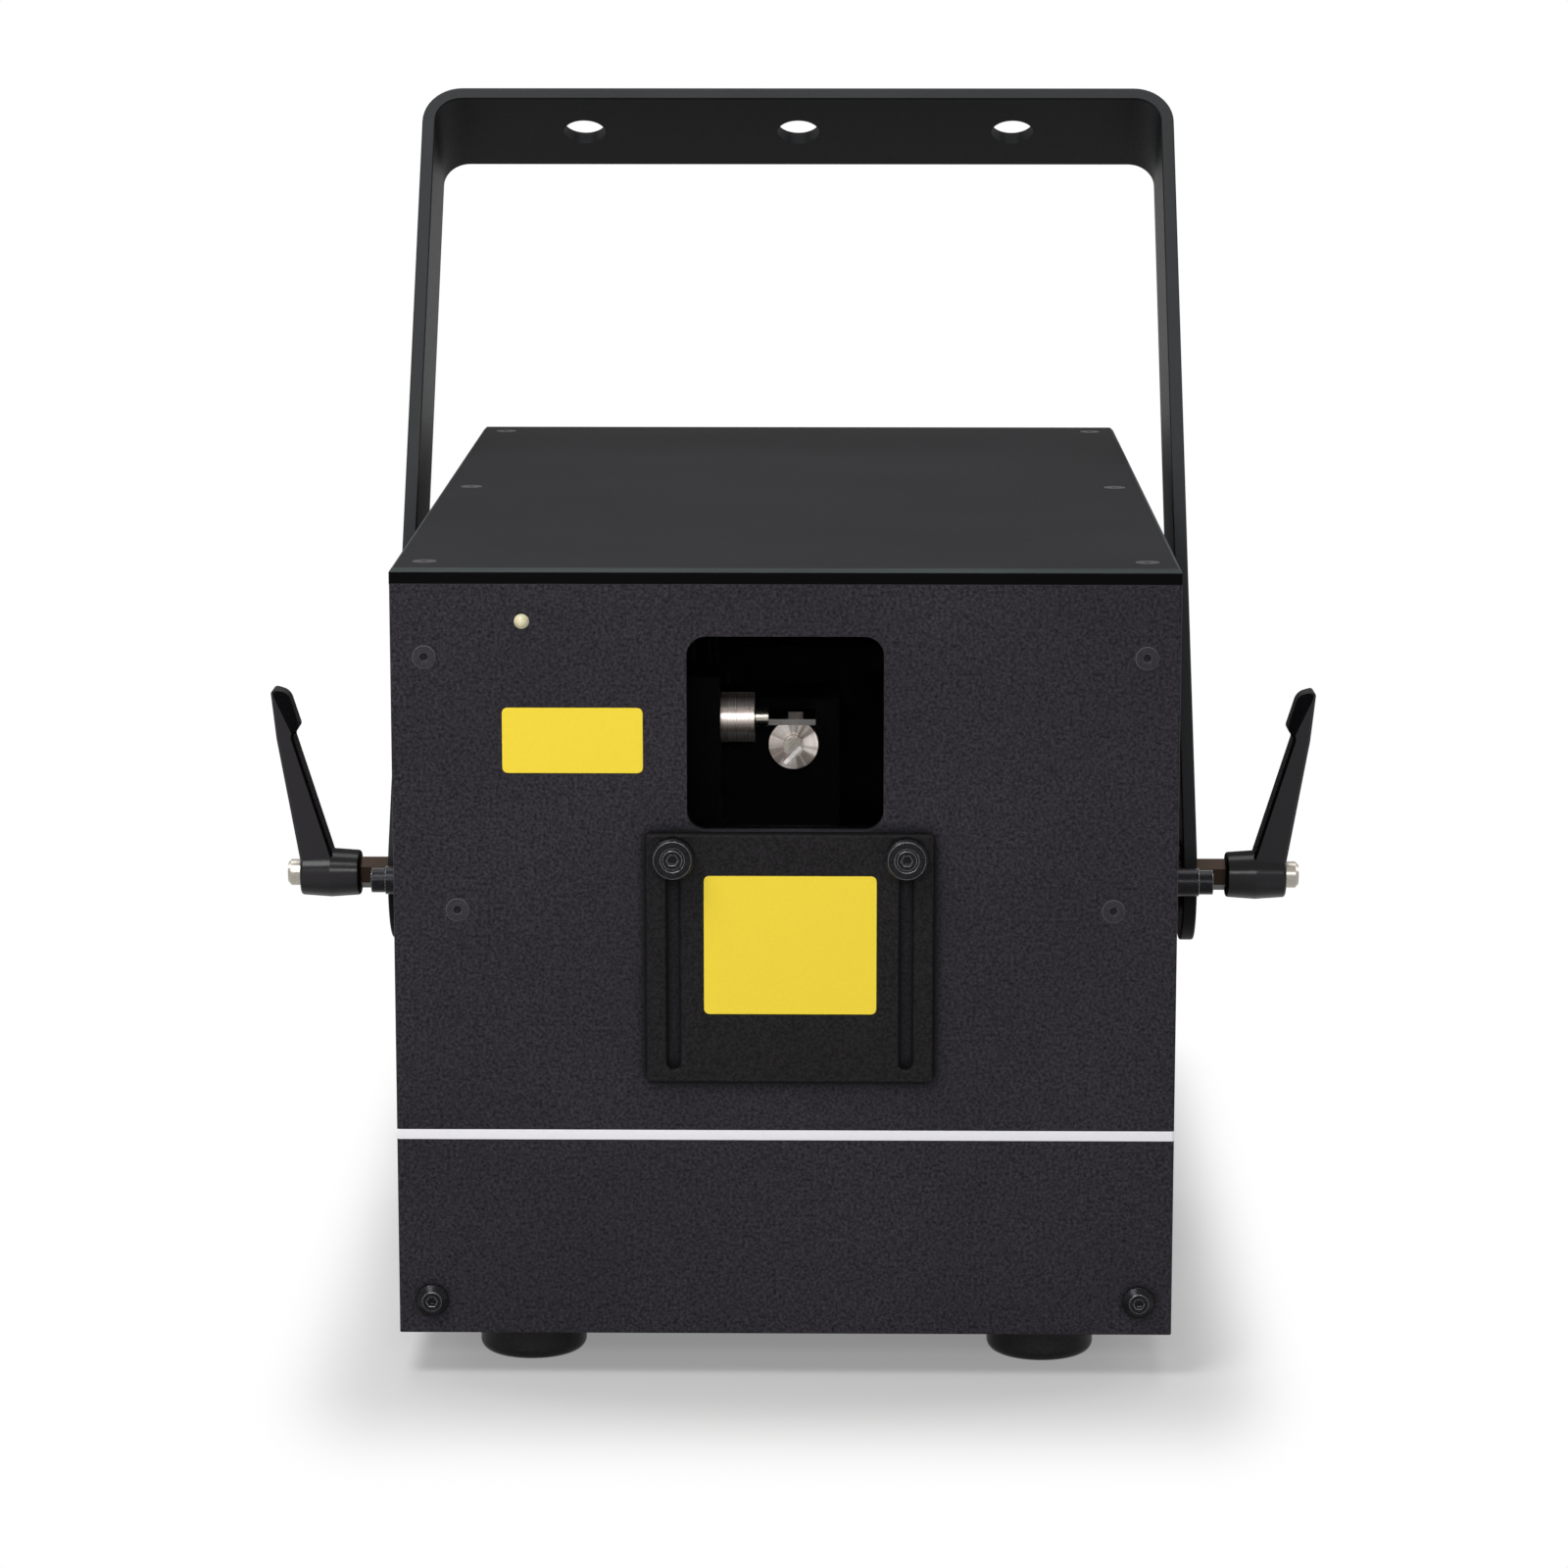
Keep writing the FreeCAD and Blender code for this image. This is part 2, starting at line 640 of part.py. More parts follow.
def make_knob(name, x):
    """Round clamp knob with a socket screw in it."""
    z = below("sz.knob_drop")
    start = behind("-2 * sz.slide_gap - sz.shutter_thickness")
    front = "(%s - sz.knob_height)" % start
    disc = cyl("knob_disc_" + name, "sz.knob_radius", "sz.knob_height - 0.6", (x, start, z), "-y")
    rim = (x, front + " + 0.6", z)
    edge = cone("knob_edge_" + name, "sz.knob_radius", "sz.knob_radius - 0.6", "0.6", rim, "-y")
    reach = "sz.slide_gap + sz.shutter_thickness + sz.front_thickness"
    shank = cyl("knob_stem_" + name, "sz.knob_shank", reach, (x, start, z), "y")
    ring = cyl("knob_ring_" + name, "sz.knob_radius * 0.56", "1.2", (x, front, z), "y")
    head = cyl("knob_head_" + name, "sz.knob_radius * 0.47", "1.3", (x, front, z), "y")
    groove = cut("knob_groove_" + name, ring, [head])
    socket = hexagon("knob_socket_" + name, "2.5", "2", (x, front, z), "y")
    node(cut("shutter_knob_" + name, fuse("knob_blank_" + name, [disc, edge, shank]), [groove, socket]))


def make_led():
    """Emission lamp pressed through the front plate."""
    z = below("sz.led_drop")
    stem = cyl("led_stem", "sz.led_radius", "sz.front_thickness", (LED_X, FRONT, z), "y")
    flange = cyl("led_flange", "sz.led_radius + 0.8", "1.2", (LED_X, FRONT_IN, z), "y")
    dome = doc.addObject("Part::Sphere", "led_dome")
    dome.setExpression("Radius", "sz.led_radius")
    put(dome, (LED_X, behind("0.6"), z))
    keep = cyl("led_keep", "sz.led_radius * 2", "sz.front_thickness", (LED_X, behind("-3"), z), "y")
    cap = doc.addObject("Part::Common", "led_cap")
    cap.Base = dome
    cap.Tool = keep
    node(fuse("emission_led", [stem, flange, cap]))


def make_bracket():
    """U bracket bent from flat strap, drawn upright about its pivot and then tilted back."""
    body = doc.addObject("PartDesign::Body", "bracket")
    outer = rectangle(body, "strap_outer", "XZ_Plane", ("2 * " + ARM_OUT, "sz.bracket_reach"),
                      ("-" + ARM_OUT, "0", "0"))
    solid = pad(body, "strap_pad", outer, "sz.strap_width", "Symmetric")
    reach = SIZES["bracket_reach"]
    outside = lambda e, m: along(e, "y") and m.z > reach - 0.01
    dress(body, "Fillet", "outer_bends", solid, outside, "Radius", "sz.strap_bend")
    opening = ("2 * " + ARM_IN, "sz.bracket_reach - sz.strap_thickness + 5")
    inner = rectangle(body, "strap_inner", "XZ_Plane", opening, ("-" + ARM_IN, "-5", "0"))
    opened = pocket(body, "strap_pocket", inner)
    roof = reach - SIZES["strap_thickness"]
    inside = lambda e, m: along(e, "y") and abs(m.z - roof) < 0.01
    dress(body, "Fillet", "inner_bends", opened, inside, "Radius", "sz.strap_bend - sz.strap_thickness")
    for name, start in (("left", "-" + ARM_OUT), ("right", ARM_IN)):
        disc = circle(body, "strap_end_" + name, "YZ_Plane", "sz.strap_width / 2", ("0", "0", start))
        strap = pad(body, "strap_end_pad_" + name, disc, "sz.strap_thickness")
    rims = lambda e, m: not along(e, "y") and not along(e, "x")
    dress(body, "Fillet", "strap_edges", strap, rims, "Radius", "sz.strap_edge")
    stud = circle(body, "strap_pivot", "YZ_Plane", "sz.stud_radius + 1.6 * sz.running_gap", ("0", "0", "0"))
    pocket(body, "strap_pivot_pocket", stud)
    hole = circle(body, "rig_circle", "XY_Plane", "sz.rig_hole", ("-sz.rig_spacing", "0", "0"))
    first = pocket(body, "rig_pocket", hole)
    row = body.newObject("PartDesign::LinearPattern", "rig_row")
    row.Originals = [first]
    row.Direction = (hole, ["H_Axis"])
    row.setExpression("Length", "2 * sz.rig_spacing")
    body.Tip = row
    row.Occurrences = 3
    body.Placement = FreeCAD.Placement(V(), FreeCAD.Rotation(V(-1, 0, 0), SIZES["bracket_tilt"]))
    node(put(body, ("0", PIVOT_Y, PIVOT_Z)))


def make_pivots():
    """Spacers, nut plates, stop screws and sleeves at both bracket ends."""
    spacers = []
    plates = []
    sleeves = []
    screws = []
    shanks = []
    for name, side in SIDES.items():
        outward = "x" if side > 0 else "-x"
        inward = "-x" if side > 0 else "x"
        at = (signed(side, SIDE), PIVOT_Y, PIVOT_Z)
        tube = cyl("spacer_tube_" + name, "sz.spacer_radius", "sz.arm_clearance - sz.pivot_gap", at, outward)
        bore = cyl("spacer_bore_" + name, "sz.stud_radius + 0.2", "40", at, outward)
        spacers.append(cut("spacer_" + name, tube, [bore]))
        stop = (signed(side, SIDE), STOP_Y, STOP_Z)
        sleeve = cyl("sleeve_tube_" + name, "sz.sleeve_radius", "%s - %s" % (ARM_OUT, SIDE), stop, outward)
        head = (signed(side, ARM_OUT), STOP_Y, STOP_Z)
        shank = cyl("stop_shank_" + name, "2", "%s - %s + 8" % (ARM_OUT, SIDE), head, inward)
        cap = cyl("stop_cap_" + name, "sz.stop_head", "sz.stop_head_height", head, outward)
        tip = (signed(side, ARM_OUT + " + sz.stop_head_height"), STOP_Y, STOP_Z)
        socket = hexagon("stop_socket_" + name, "3", "2", tip, inward)
        sleeves.append(cut("sleeve_" + name, sleeve, [shank]))
        screws.append(cut("stop_screw_" + name, fuse("stop_blank_" + name, [cap, shank]), [socket]))
        shanks.append(shank)
        plate_x = signed(side, WALL + " - 3")
        nut = slab("nut_blank_" + name, ("6", "64", "50"), (plate_x, PIVOT_Y + " - 36", PIVOT_Z + " - 25"))
        thread = cyl("nut_thread_" + name, "sz.stud_radius + sz.running_gap", "60", at, inward)
        plates.append(cut("nut_plate_" + name, nut, [thread, shank]))
    node(group("pivot_spacers", spacers))
    node(group("pivot_nut_plates", plates))
    node(group("stop_sleeves", sleeves))
    node(group("stop_screws", screws))
    return group("stop_holes", shanks)


# Corners of the lever arm seen from the front: distance outward from the start of the hub as a share of the
# hub length, height over the pivot as a share of the lever height, and the size that rounds the corner
LEVER = (
    (0.966, 0.019, None),
    (1.356, 0.735, None),
    (1.445, 1.000, "sz.lever_nose"),
    (1.150, 0.978, "sz.lever_tip"),
    (0.975, 0.796, "sz.lever_notch"),
    (1.080, 0.748, "sz.lever_notch"),
    (0.371, 0.019, None),
)
NOSE = LEVER[2]
NOTCH = LEVER[5]


def thumb_rests(name, side, facing):
    """Blocks that slope both faces of the arm's tip inwards from the line between its notch and its nose."""
    line = V(SIZES["hub_length"] * (NOSE[0] - NOTCH[0]), 0, SIZES["lever_height"] * (NOSE[1] - NOTCH[1]))
    out, high = [(a + b) / 2 for a, b in zip(NOTCH[:2], NOSE[:2])]
    size = ("sz.lever_height", "1.8 * sz.lever_width", "sz.lever_width")
    blocks = []
    for face in (-1, 1):
        normal = FreeCAD.Rotation(line, face * SIZES["thumb_slope"]).multVec(V(0, face, 0))
        turn = facing.multiply(FreeCAD.Rotation(line, V(), normal, "ZXY"))
        at = (signed(side, "%s + sz.hub_length * %s + sz.lever_width / 2 * (%s)" % (HUB_X, out, normal.x)),
              "%s + sz.lever_width / 2 * (%s)" % (PIVOT_Y, side * (face + normal.y)),
              "%s + sz.lever_height * %s + sz.lever_width / 2 * (%s)" % (PIVOT_Z, high, normal.z))
        blocks.append(block("thumb_rest_%s_%d" % (name, len(blocks)), size, at, turn))
    return blocks


def make_handle(name, side):
    """Die-cast handle: a turned hub with a stepped bore, and a flat arm with chamfered rims and a thumb rest."""
    facing = FreeCAD.Rotation(V(0, 0, 1), 0 if side > 0 else 180)
    at = (signed(side, HUB_X), PIVOT_Y, PIVOT_Z)
    neck = "sz.stud_radius + 0.7"
    well = "sz.cap_radius + 0.3"
    small = "sz.hub_radius - sz.hub_taper"
    half = "sz.hub_length / 2"
    hub = doc.addObject("PartDesign::Body", "hub_" + name)
    wall = ((half, "sz.hub_radius"), ("sz.hub_length", small), ("sz.hub_length", well), (half, well),
            (half, neck), ("0", neck), ("0", small))
    turned = hub.newObject("PartDesign::Revolution", "hub_turned_" + name)
    turned.Profile = polygon(hub, "hub_wall_" + name, "XZ_Plane", wall)
    turned.ReferenceAxis = (turned.Profile[0], ["H_Axis"])
    hub.Tip = turned
    doc.recompute()
    rim = SIZES["hub_radius"] - SIZES["hub_taper"]
    ends = lambda e, m: abs(m.y ** 2 + m.z ** 2 - rim ** 2) < 0.01 and e.Curve.TypeId == "Part::GeomCircle"
    dress(hub, "Fillet", "hub_ends_" + name, turned, ends, "Radius", "sz.hub_edge")
    arm = doc.addObject("PartDesign::Body", "arm_" + name)
    corners = [("sz.hub_length * %s" % out, "sz.lever_height * %s" % high) for out, high, rounding in LEVER]
    solid = pad(arm, "arm_pad_" + name, polygon(arm, "arm_outline_" + name, "XZ_Plane", corners),
                "sz.lever_width", "Symmetric")
    for i, (out, high, rounding) in enumerate(LEVER):
        if rounding:
            x, z = SIZES["hub_length"] * out, SIZES["lever_height"] * high
            here = lambda e, m: along(e, "y") and abs(m.x - x) + abs(m.z - z) < 0.01
            solid = dress(arm, "Fillet", "arm_round_%s_%d" % (name, i), solid, here, "Radius", rounding)
    rims = lambda e, m: abs(abs(m.y) - SIZES["lever_width"] / 2) < 0.01
    dress(arm, "Chamfer", "arm_rims_" + name, solid, rims, "Size", "sz.lever_chamfer")
    for body in (hub, arm):
        body.Placement = FreeCAD.Placement(V(), facing)
        put(body, at)
    outward = "x" if side > 0 else "-x"
    ridge = (signed(side, HUB_X + " + sz.hub_length / 2"), PIVOT_Y, PIVOT_Z)
    bore = cyl("arm_neck_" + name, neck, "sz.hub_length", at, outward)
    counterbore = cyl("arm_well_" + name, well, "sz.hub_length", ridge, outward)
    carved = cut("arm_carved_" + name, arm, [bore, counterbore, *thumb_rests(name, side, facing)])
    node(fuse("lever_handle_" + name, [hub, carved]))


def make_lever(name, side):
    """Clamp lever: stud with hexagon, handle and the round-headed screw that holds it."""
    outward = "x" if side > 0 else "-x"
    inward = "-x" if side > 0 else "x"
    make_handle(name, side)
    start = (signed(side, HEX_X), PIVOT_Y, PIVOT_Z)
    flats = hexagon("stud_hex_" + name, "sz.hex_flats", "sz.hex_length", start, outward)
    thread = cyl("stud_thread_" + name, "sz.stud_radius", "%s - %s + 10" % (HEX_X, WALL), start, inward)
    reach = "sz.hex_length + sz.pivot_gap + 8"
    core = cyl("stud_core_" + name, "sz.stud_radius + 0.4", reach, start, outward)
    node(fuse("lever_stud_" + name, [flats, thread, core]))
    seat = (signed(side, HUB_X + " + 8"), PIVOT_Y, PIVOT_Z)
    face = (signed(side, HUB_X + " + sz.hub_length + sz.cap_proud"), PIVOT_Y, PIVOT_Z)
    pin = cyl("cap_pin_" + name, "2", "sz.hub_length + sz.cap_proud - 8.1", seat, outward)
    shoulder = (signed(side, HUB_X + " + sz.hub_length + sz.cap_proud - sz.cap_edge"), PIVOT_Y, PIVOT_Z)
    head = cyl("cap_head_" + name, "sz.cap_radius",
               "sz.cap_proud - sz.cap_edge + sz.hub_length / 2 - sz.lever_lift - 1.4", shoulder, inward)
    narrow = "sz.cap_radius - sz.cap_edge"
    edge = cone("cap_edge_" + name, "sz.cap_radius", narrow, "sz.cap_edge", shoulder, outward)
    socket = hexagon("cap_socket_" + name, "3", "2.4", face, inward)
    node(cut("lever_cap_" + name, fuse("cap_blank_" + name, [pin, head, edge]), [socket]))


def make_bench():
    """Optical bench on posts."""
    wide = "2 * %s - 6" % WALL
    node(slab("optical_bench", (wide, "sz.bench_depth", "sz.bench_thickness"),
              ("0", FRONT_IN + " + sz.sheet + 3", BENCH_Z + " - sz.bench_thickness")))
    posts = []
    for depth in ("sz.front_thickness + 18", "sz.bench_depth - 4"):
        for side in (-1, 1):
            posts.append(cyl("post_%d" % len(posts), "5", "%s - sz.bench_thickness - %s" % (BENCH_Z, FLOOR_Z),
                             (signed(side, SIDE + " - sz.flange_width - 6"), behind(depth), FLOOR_Z)))
    node(group("bench_posts", posts))


def make_galvos():
    """Scanner block, two galvo motors, their shafts and scan mirrors."""
    y = behind("sz.galvo_depth")
    z_x = below("sz.galvo_x_drop")
    z_y = BEAM_Z
    x_y = "sz.galvo_y_side"
    face_x = "(sz.galvo_y_side - 10.1)"
    face_y = behind("sz.galvo_depth + 6")
    tall = "%s - %s + sz.galvo_radius + 6" % (z_x, BENCH_Z)
    first = box("galvo_tower", ("30", "24", tall), (face_x + " - 38.8", y + " - 12", BENCH_Z))
    second = box("galvo_saddle", ("40", "26", "%s - %s + sz.galvo_radius + 5" % (z_y, BENCH_Z)),
                 (x_y + " - 28", face_y + " + 4", BENCH_Z))
    motor_x = cyl("galvo_can_x", "sz.galvo_radius", "46", (face_x, y, z_x), "-x")
    motor_y = cyl("galvo_can_y", "sz.galvo_radius", "34", (x_y, face_y, z_y), "y")
    node(cut("galvo_block", fuse("galvo_block_blank", [first, second]), [motor_x, motor_y]))
    bore_x = cyl("galvo_bore_x", "1.5 + sz.running_gap", "20", (face_x, y, z_x), "-x")
    bore_y = cyl("galvo_bore_y", "1.5 + sz.running_gap", "20", (x_y, face_y, z_y), "y")
    node(cut("galvo_motor_x", motor_x, [bore_x]))
    node(cut("galvo_motor_y", motor_y, [bore_y]))
    shaft_x = cyl("shaft_rod_x", "1.5", "18.3", (face_x + " + 0.3", y, z_x), "-x")
    collar_x = cyl("shaft_collar_x", "2.6", "3.3", (face_x + " + 0.3", y, z_x), "x")
    node(fuse("scan_shaft_x", [shaft_x, collar_x]))
    shaft_y = cyl("shaft_rod_y", "1.5", "18.3", (x_y, face_y + " - 0.3", z_y), "y")
    collar_y = cyl("shaft_collar_y", "2.6", "3.3", (x_y, face_y + " - 0.3", z_y), "-y")
    node(fuse("scan_shaft_y", [shaft_y, collar_y]))
    size = ("sz.mirror_length", "sz.mirror_width", "sz.mirror_thickness")
    node(block("scan_mirror_x", size, (face_x + " + 3.6 + sz.mirror_length / 2", y, z_x),
               FreeCAD.Rotation(V(1, 0, 0), -45)))
    turn = FreeCAD.Rotation(V(0, 1, 0), -45).multiply(FreeCAD.Rotation(V(0, 0, 1), 90))
    node(block("scan_mirror_y", size, (x_y, face_y + " - 3.6 - sz.mirror_length / 2", z_y), turn))


def laser_module(name, wide, deep, at, axis, nose):
    """Finned laser module with a lens barrel on the beam height."""
    tall = "%s - %s + 20" % (BEAM_Z, BENCH_Z)
    case = slab(name + "_case", (wide, deep, tall), at)
    fins = []
    for i in range(6):
        row = "%s + 5 + %d * (%s - 10) / 6" % (at[1], i, deep)
        fins.append(slab("%s_fin_%d" % (name, i), (wide + " - 6", "3", "9"),
                         (at[0], row, "%s + %s - 8" % (at[2], tall))))
    barrel = cyl(name + "_barrel", "6", "10.5", nose, axis)
    node(fuse(name, [cut(name + "_finned", case, fins), barrel]))


def make_lasers():
    """Three laser modules and the mirrors that bring their beams together."""
    red_y = behind("sz.galvo_depth + 148")
    laser_module("laser_module_red", "44", "52", (BEAM_X, red_y, BENCH_Z), "-y",
                 (BEAM_X, red_y + " + 0.5", BEAM_Z))
    for name, depth in (("blue", "sz.galvo_depth + 66"), ("green", "sz.galvo_depth + 114")):
        corner = (BEAM_X + " - 58", behind(depth + " - 22"), BENCH_Z)
        nose = (BEAM_X + " - 30.5", behind(depth), BEAM_Z)
        laser_module("laser_module_" + name, "56", "44", corner, "x", nose)
    mounts = []
    mirrors = []
    for i, depth in enumerate(("sz.galvo_depth - 2", "sz.galvo_depth + 66", "sz.galvo_depth + 114")):
        angle = 45 if i else -45
        turn = FreeCAD.Rotation(V(0, 0, 1), angle)
        mounts.append(slab("mount_%d" % i, ("12", "12", "%s - %s - 9" % (BEAM_Z, BENCH_Z)),
                           (BEAM_X, behind(depth + " - 6"), BENCH_Z)))
        mirrors.append(block("mirror_%d" % i, ("18", "1.5", "18"), (BEAM_X, behind(depth), BEAM_Z), turn))
    node(group("combiner_mounts", mounts))
    node(group("combiner_mirrors", mirrors))


def board(name, size, at, parts, upright=False):
    """Circuit board with its larger components, placed and sized by shares of the card's two long sides."""
    solids = [box(name + "_card", size, at)]
    for i, (start, rise, long, wide, tall) in enumerate(parts):
        x = "%s + %s * (%s)" % (at[0], start, size[0])
        length = "%s * (%s)" % (long, size[0])
        if upright:
            corner = (x, "%s - %s" % (at[1], tall), "%s + %s * (%s)" % (at[2], rise, size[2]))
            extent = (length, str(tall), "%s * (%s)" % (wide, size[2]))
        else:
            corner = (x, "%s + %s * (%s)" % (at[1], rise, size[1]), "%s + %s" % (at[2], size[2]))
            extent = (length, "%s * (%s)" % (wide, size[1]), str(tall))
        solids.append(box("%s_part_%d" % (name, i), extent, corner))
    node(fuse(name, solids))


def make_electronics():
    """Power supply, drivers and control board."""
    y = behind("sz.body_depth * 0.19")
    wide = "(2 * %s - sz.driver_width - sz.card_margin - 2 * sz.card_gap)" % FLANGE_X
    x = "(sz.card_gap - %s + %s / 2)" % (FLANGE_X, wide)
    skin = 1.5
    case = slab("supply_case", (wide, "sz.supply_depth", "sz.supply_height"), (x, y, FLOOR_Z))
    inside = [text + " - %s" % (2 * skin) for text in (wide, "sz.supply_depth", "sz.supply_height")]
    slots = [slab("supply_hollow", inside, (x, "%s + %s" % (y, skin), "%s + %s" % (FLOOR_Z, skin)))]
    for i in range(14):
        place = (x, "%s + sz.supply_depth * %s" % (y, (i + 1.2) / 16), FLOOR_Z + " + sz.supply_height - 4")
        slots.append(slab("supply_slot_%d" % i, (wide + " * 0.7", "sz.supply_depth / 40", "6"), place))
    node(cut("power_supply", case, slots))
    card = "sz.card_thickness"
    chips = [(0.55, row, 0.34, 0.16, 14) for row in (0.08, 0.4, 0.72)]
    board("laser_driver", ("sz.driver_width", "sz.driver_depth", card),
          ("%s - sz.card_margin - sz.driver_width" % FLANGE_X, y, FLOOR_Z),
          [(0.08, 0.05, 0.34, 0.87, 30)] + chips)
    chips = [(0.3, row, 0.46, 0.25, 10) for row in (0.1, 0.53)]
    board("galvo_driver", ("sz.scan_card_width", "sz.scan_card_depth", card),
          ("8 - " + WALL, behind("sz.galvo_depth + 30"), BENCH_Z), [(0.06, 0.03, 0.15, 0.93, 34)] + chips)
    low = "(%s + sz.fan_side / 2 + sz.control_gap)" % FAN_Z
    chips = [(0.13, 0.2, 0.2, 0.32, 8), (0.47, 0.44, 0.16, 0.35, 5), (0.75, 0.15, 0.1, 0.6, 10)]
    board("control_board", ("2 * %s - 10" % FLANGE_X, card, "%s - sz.control_drop - %s" % (TOP, low)),
          ("5 - " + FLANGE_X, BACK + " - 23", low), chips, upright=True)


def make_fan(rear_tools):
    """Cooling fan: frame with stator, seven-blade rotor and wire guard."""
    x = FAN_X
    z = FAN_Z
    half = "sz.fan_side / 2"
    y0 = "(%s - sz.fan_depth)" % BACK_IN
    shell = slab("fan_shell", ("sz.fan_side", "sz.fan_depth", "sz.fan_side"), (x, y0, "%s - %s" % (z, half)))
    bore = cyl("fan_bore", half + " - 2", "sz.fan_depth", (x, y0, z), "y")
    pieces = [cut("fan_ring", shell, [bore]), cyl("fan_stator", half + " * 0.4", "4", (x, y0, z), "y"),
              cyl("fan_pin", "1.5", "sz.fan_depth - 6", (x, y0, z), "y")]
    pieces.append(slab("fan_strut_x", ("sz.fan_side - 2", "4", "4"), (x, y0, z + " - 2")))
    pieces.append(slab("fan_strut_z", ("4", "4", "sz.fan_side - 2"), (x, y0, "%s - %s + 1" % (z, half))))
    node(fuse("fan_frame", pieces))
    hub = cyl("rotor_hub", half + " * 0.42", "sz.fan_depth - 7", (x, y0 + " + 5", z), "y")
    blades = []
    for i in range(7):
        turn = FreeCAD.Rotation(V(0, 1, 0), 360.0 * i / 7).multiply(FreeCAD.Rotation(V(1, 0, 0), 38))
        middle = (x, y0 + " + sz.fan_depth / 2 + 1", z)
        blades.append(block("rotor_blade_%d" % i, (half + " * 1.9", "1.6", "22"), middle, turn))
    sweep = cyl("rotor_sweep", half + " - 3.5", "sz.fan_depth - 8", (x, y0 + " + 5.5", z), "y")
    trim = doc.addObject("Part::Common", "rotor_trim")
    trim.Base = fuse("rotor_union", half_blades(blades, x, y0, z))
    trim.Tool = sweep
    eye = cyl("rotor_eye", "1.5 + sz.running_gap", "sz.fan_depth - 7", (x, y0 + " + 4", z), "y")
    node(cut("fan_rotor", fuse("rotor_solid", [hub, trim]), [eye]))
    wires = []
    for i, ratio in enumerate((0.32, 0.56, 0.8, 1.04)):
        ring = doc.addObject("Part::Torus", "guard_ring_%d" % i)
        ring.Placement = FreeCAD.Placement(V(), TURN["y"])
        ring.setExpression("Radius1", "%s * %s" % (half, ratio))
        ring.Radius2 = 0.9
        wires.append(put(ring, (x, BACK + " + 2.4", z)))
    for i in range(4):
        spoke = cyl("guard_spoke_%d" % i, "0.9", "%s * 1.06" % half, (x, BACK + " + 1.2", z), "z")
        spoke.Placement = FreeCAD.Placement(V(), FreeCAD.Rotation(V(0, 1, 0), 45 + 90 * i))
        wires.append(put(spoke, (x, BACK + " + 1.2", z)))
    node(fuse("fan_guard", wires))
    rear_tools.append(cyl("fan_cutout", half + " - 2", "20", (x, BACK + " - 10", z), "y"))


def half_blades(blades, x, y0, z):
    """Keep the half of each blade bar on one side of the axis."""
    kept = []
    for i, blade in enumerate(blades):
        turn = FreeCAD.Rotation(V(0, 1, 0), 360.0 * i / 7)
        spot = turn.multVec(V(0.5, 0, 0))
        middle = ("%s + sz.fan_side * %.6f" % (x, spot.x), y0 + " + sz.fan_depth / 2",
                  "%s + sz.fan_side * %.6f" % (z, spot.z))
        side = block("rotor_half_%d" % i, ("sz.fan_side", "60", "60"), middle, turn)
        keep = doc.addObject("Part::Common", "rotor_kept_%d" % i)
        keep.Base = blade
        keep.Tool = side
        kept.append(keep)
    return kept


def make_power_inlet(rear_tools):
    """Mains inlet with three blades, and the power rocker in its frame."""
    x = "-(sz.body_width * 0.3)"
    z = FLOOR_Z + " + sz.inlet_rise"
    flange = slab("inlet_flange", ("48", "2.5", "28"), (x, BACK, z + " - 14"))
    shell = slab("inlet_shell", ("30", "22", "22"), (x, BACK + " - 20", z + " - 11"))
    recess = slab("inlet_recess", ("24", "17", "16"), (x, BACK + " - 14", z + " - 8"))
    solids = [cut("inlet_cup", fuse("inlet_blank", [flange, shell]), [recess])]
    for i, (dx, dz) in enumerate(((-7, -1), (0, 3), (7, -1))):
        corner = (x + " + %d" % dx, BACK + " - 15", z + " + %d - 2" % dz)
        solids.append(slab("inlet_blade_%d" % i, ("2", "13", "4"), corner))
    node(fuse("mains_inlet", solids))
    rear_tools.append(slab("inlet_cutout", ("30", "20", "22"), (x, BACK + " - 10", z + " - 11")))
    rz = FLOOR_Z + " + sz.rocker_rise"
    bezel = slab("rocker_bezel", ("22", "2", "30"), (x, BACK, rz + " - 15"))
    can = slab("rocker_can", ("19", "20", "27"), (x, BACK + " - 19", rz + " - 13.5"))
    seat = cyl("rocker_seat", "11.3", "15.6", (x + " - 7.8", BACK + " - 3", rz), "x")
    node(cut("rocker_frame", fuse("rocker_blank", [bezel, can]), [seat]))
    rear_tools.append(slab("rocker_cutout", ("19", "20", "27"), (x, BACK + " - 10", rz + " - 13.5")))
    drum = cyl("rocker_drum", "11", "15", (x + " - 7.5", BACK + " - 3", rz), "x")
    tip = "sz.rocker_tip * 1 deg"
    dish = cyl("rocker_dish", "16", "20",
               (x + " - 10", BACK + " - 3 + 22 * cos(%s)" % tip, rz + " + 22 * sin(%s)" % tip), "x")
    rear = slab("rocker_rear", ("20", "20", "30"), (x, BACK + " - 23", rz + " - 15"))
    node(cut("power_rocker", drum, [dish, rear]))


def make_key_switch(rear_tools):
    """Key switch body and the turning barrel with its key slot."""
    x = "-(sz.body_width * 0.3)"
    z = FLOOR_Z + " + sz.key_rise"
    nut = cyl("key_nut", "9.5", "3", (x, BACK, z), "y")
    can = cyl("key_can", "8", "26", (x, BACK + " - 25", z), "y")
    well = cyl("key_well", "6 + sz.running_gap", "30", (x, BACK + " - 18", z), "y")
    node(cut("key_switch", fuse("key_blank", [nut, can]), [well]))
    rear_tools.append(cyl("key_cutout", "8", "20", (x, BACK + " - 10", z), "y"))
    barrel = cyl("key_core", "6", "21.5", (x, BACK + " - 17.8", z), "y")
    slot = slab("key_slot", ("2", "10", "8"), (x, BACK + " - 4", z + " - 4"))
    node(cut("key_barrel", barrel, [slot]))


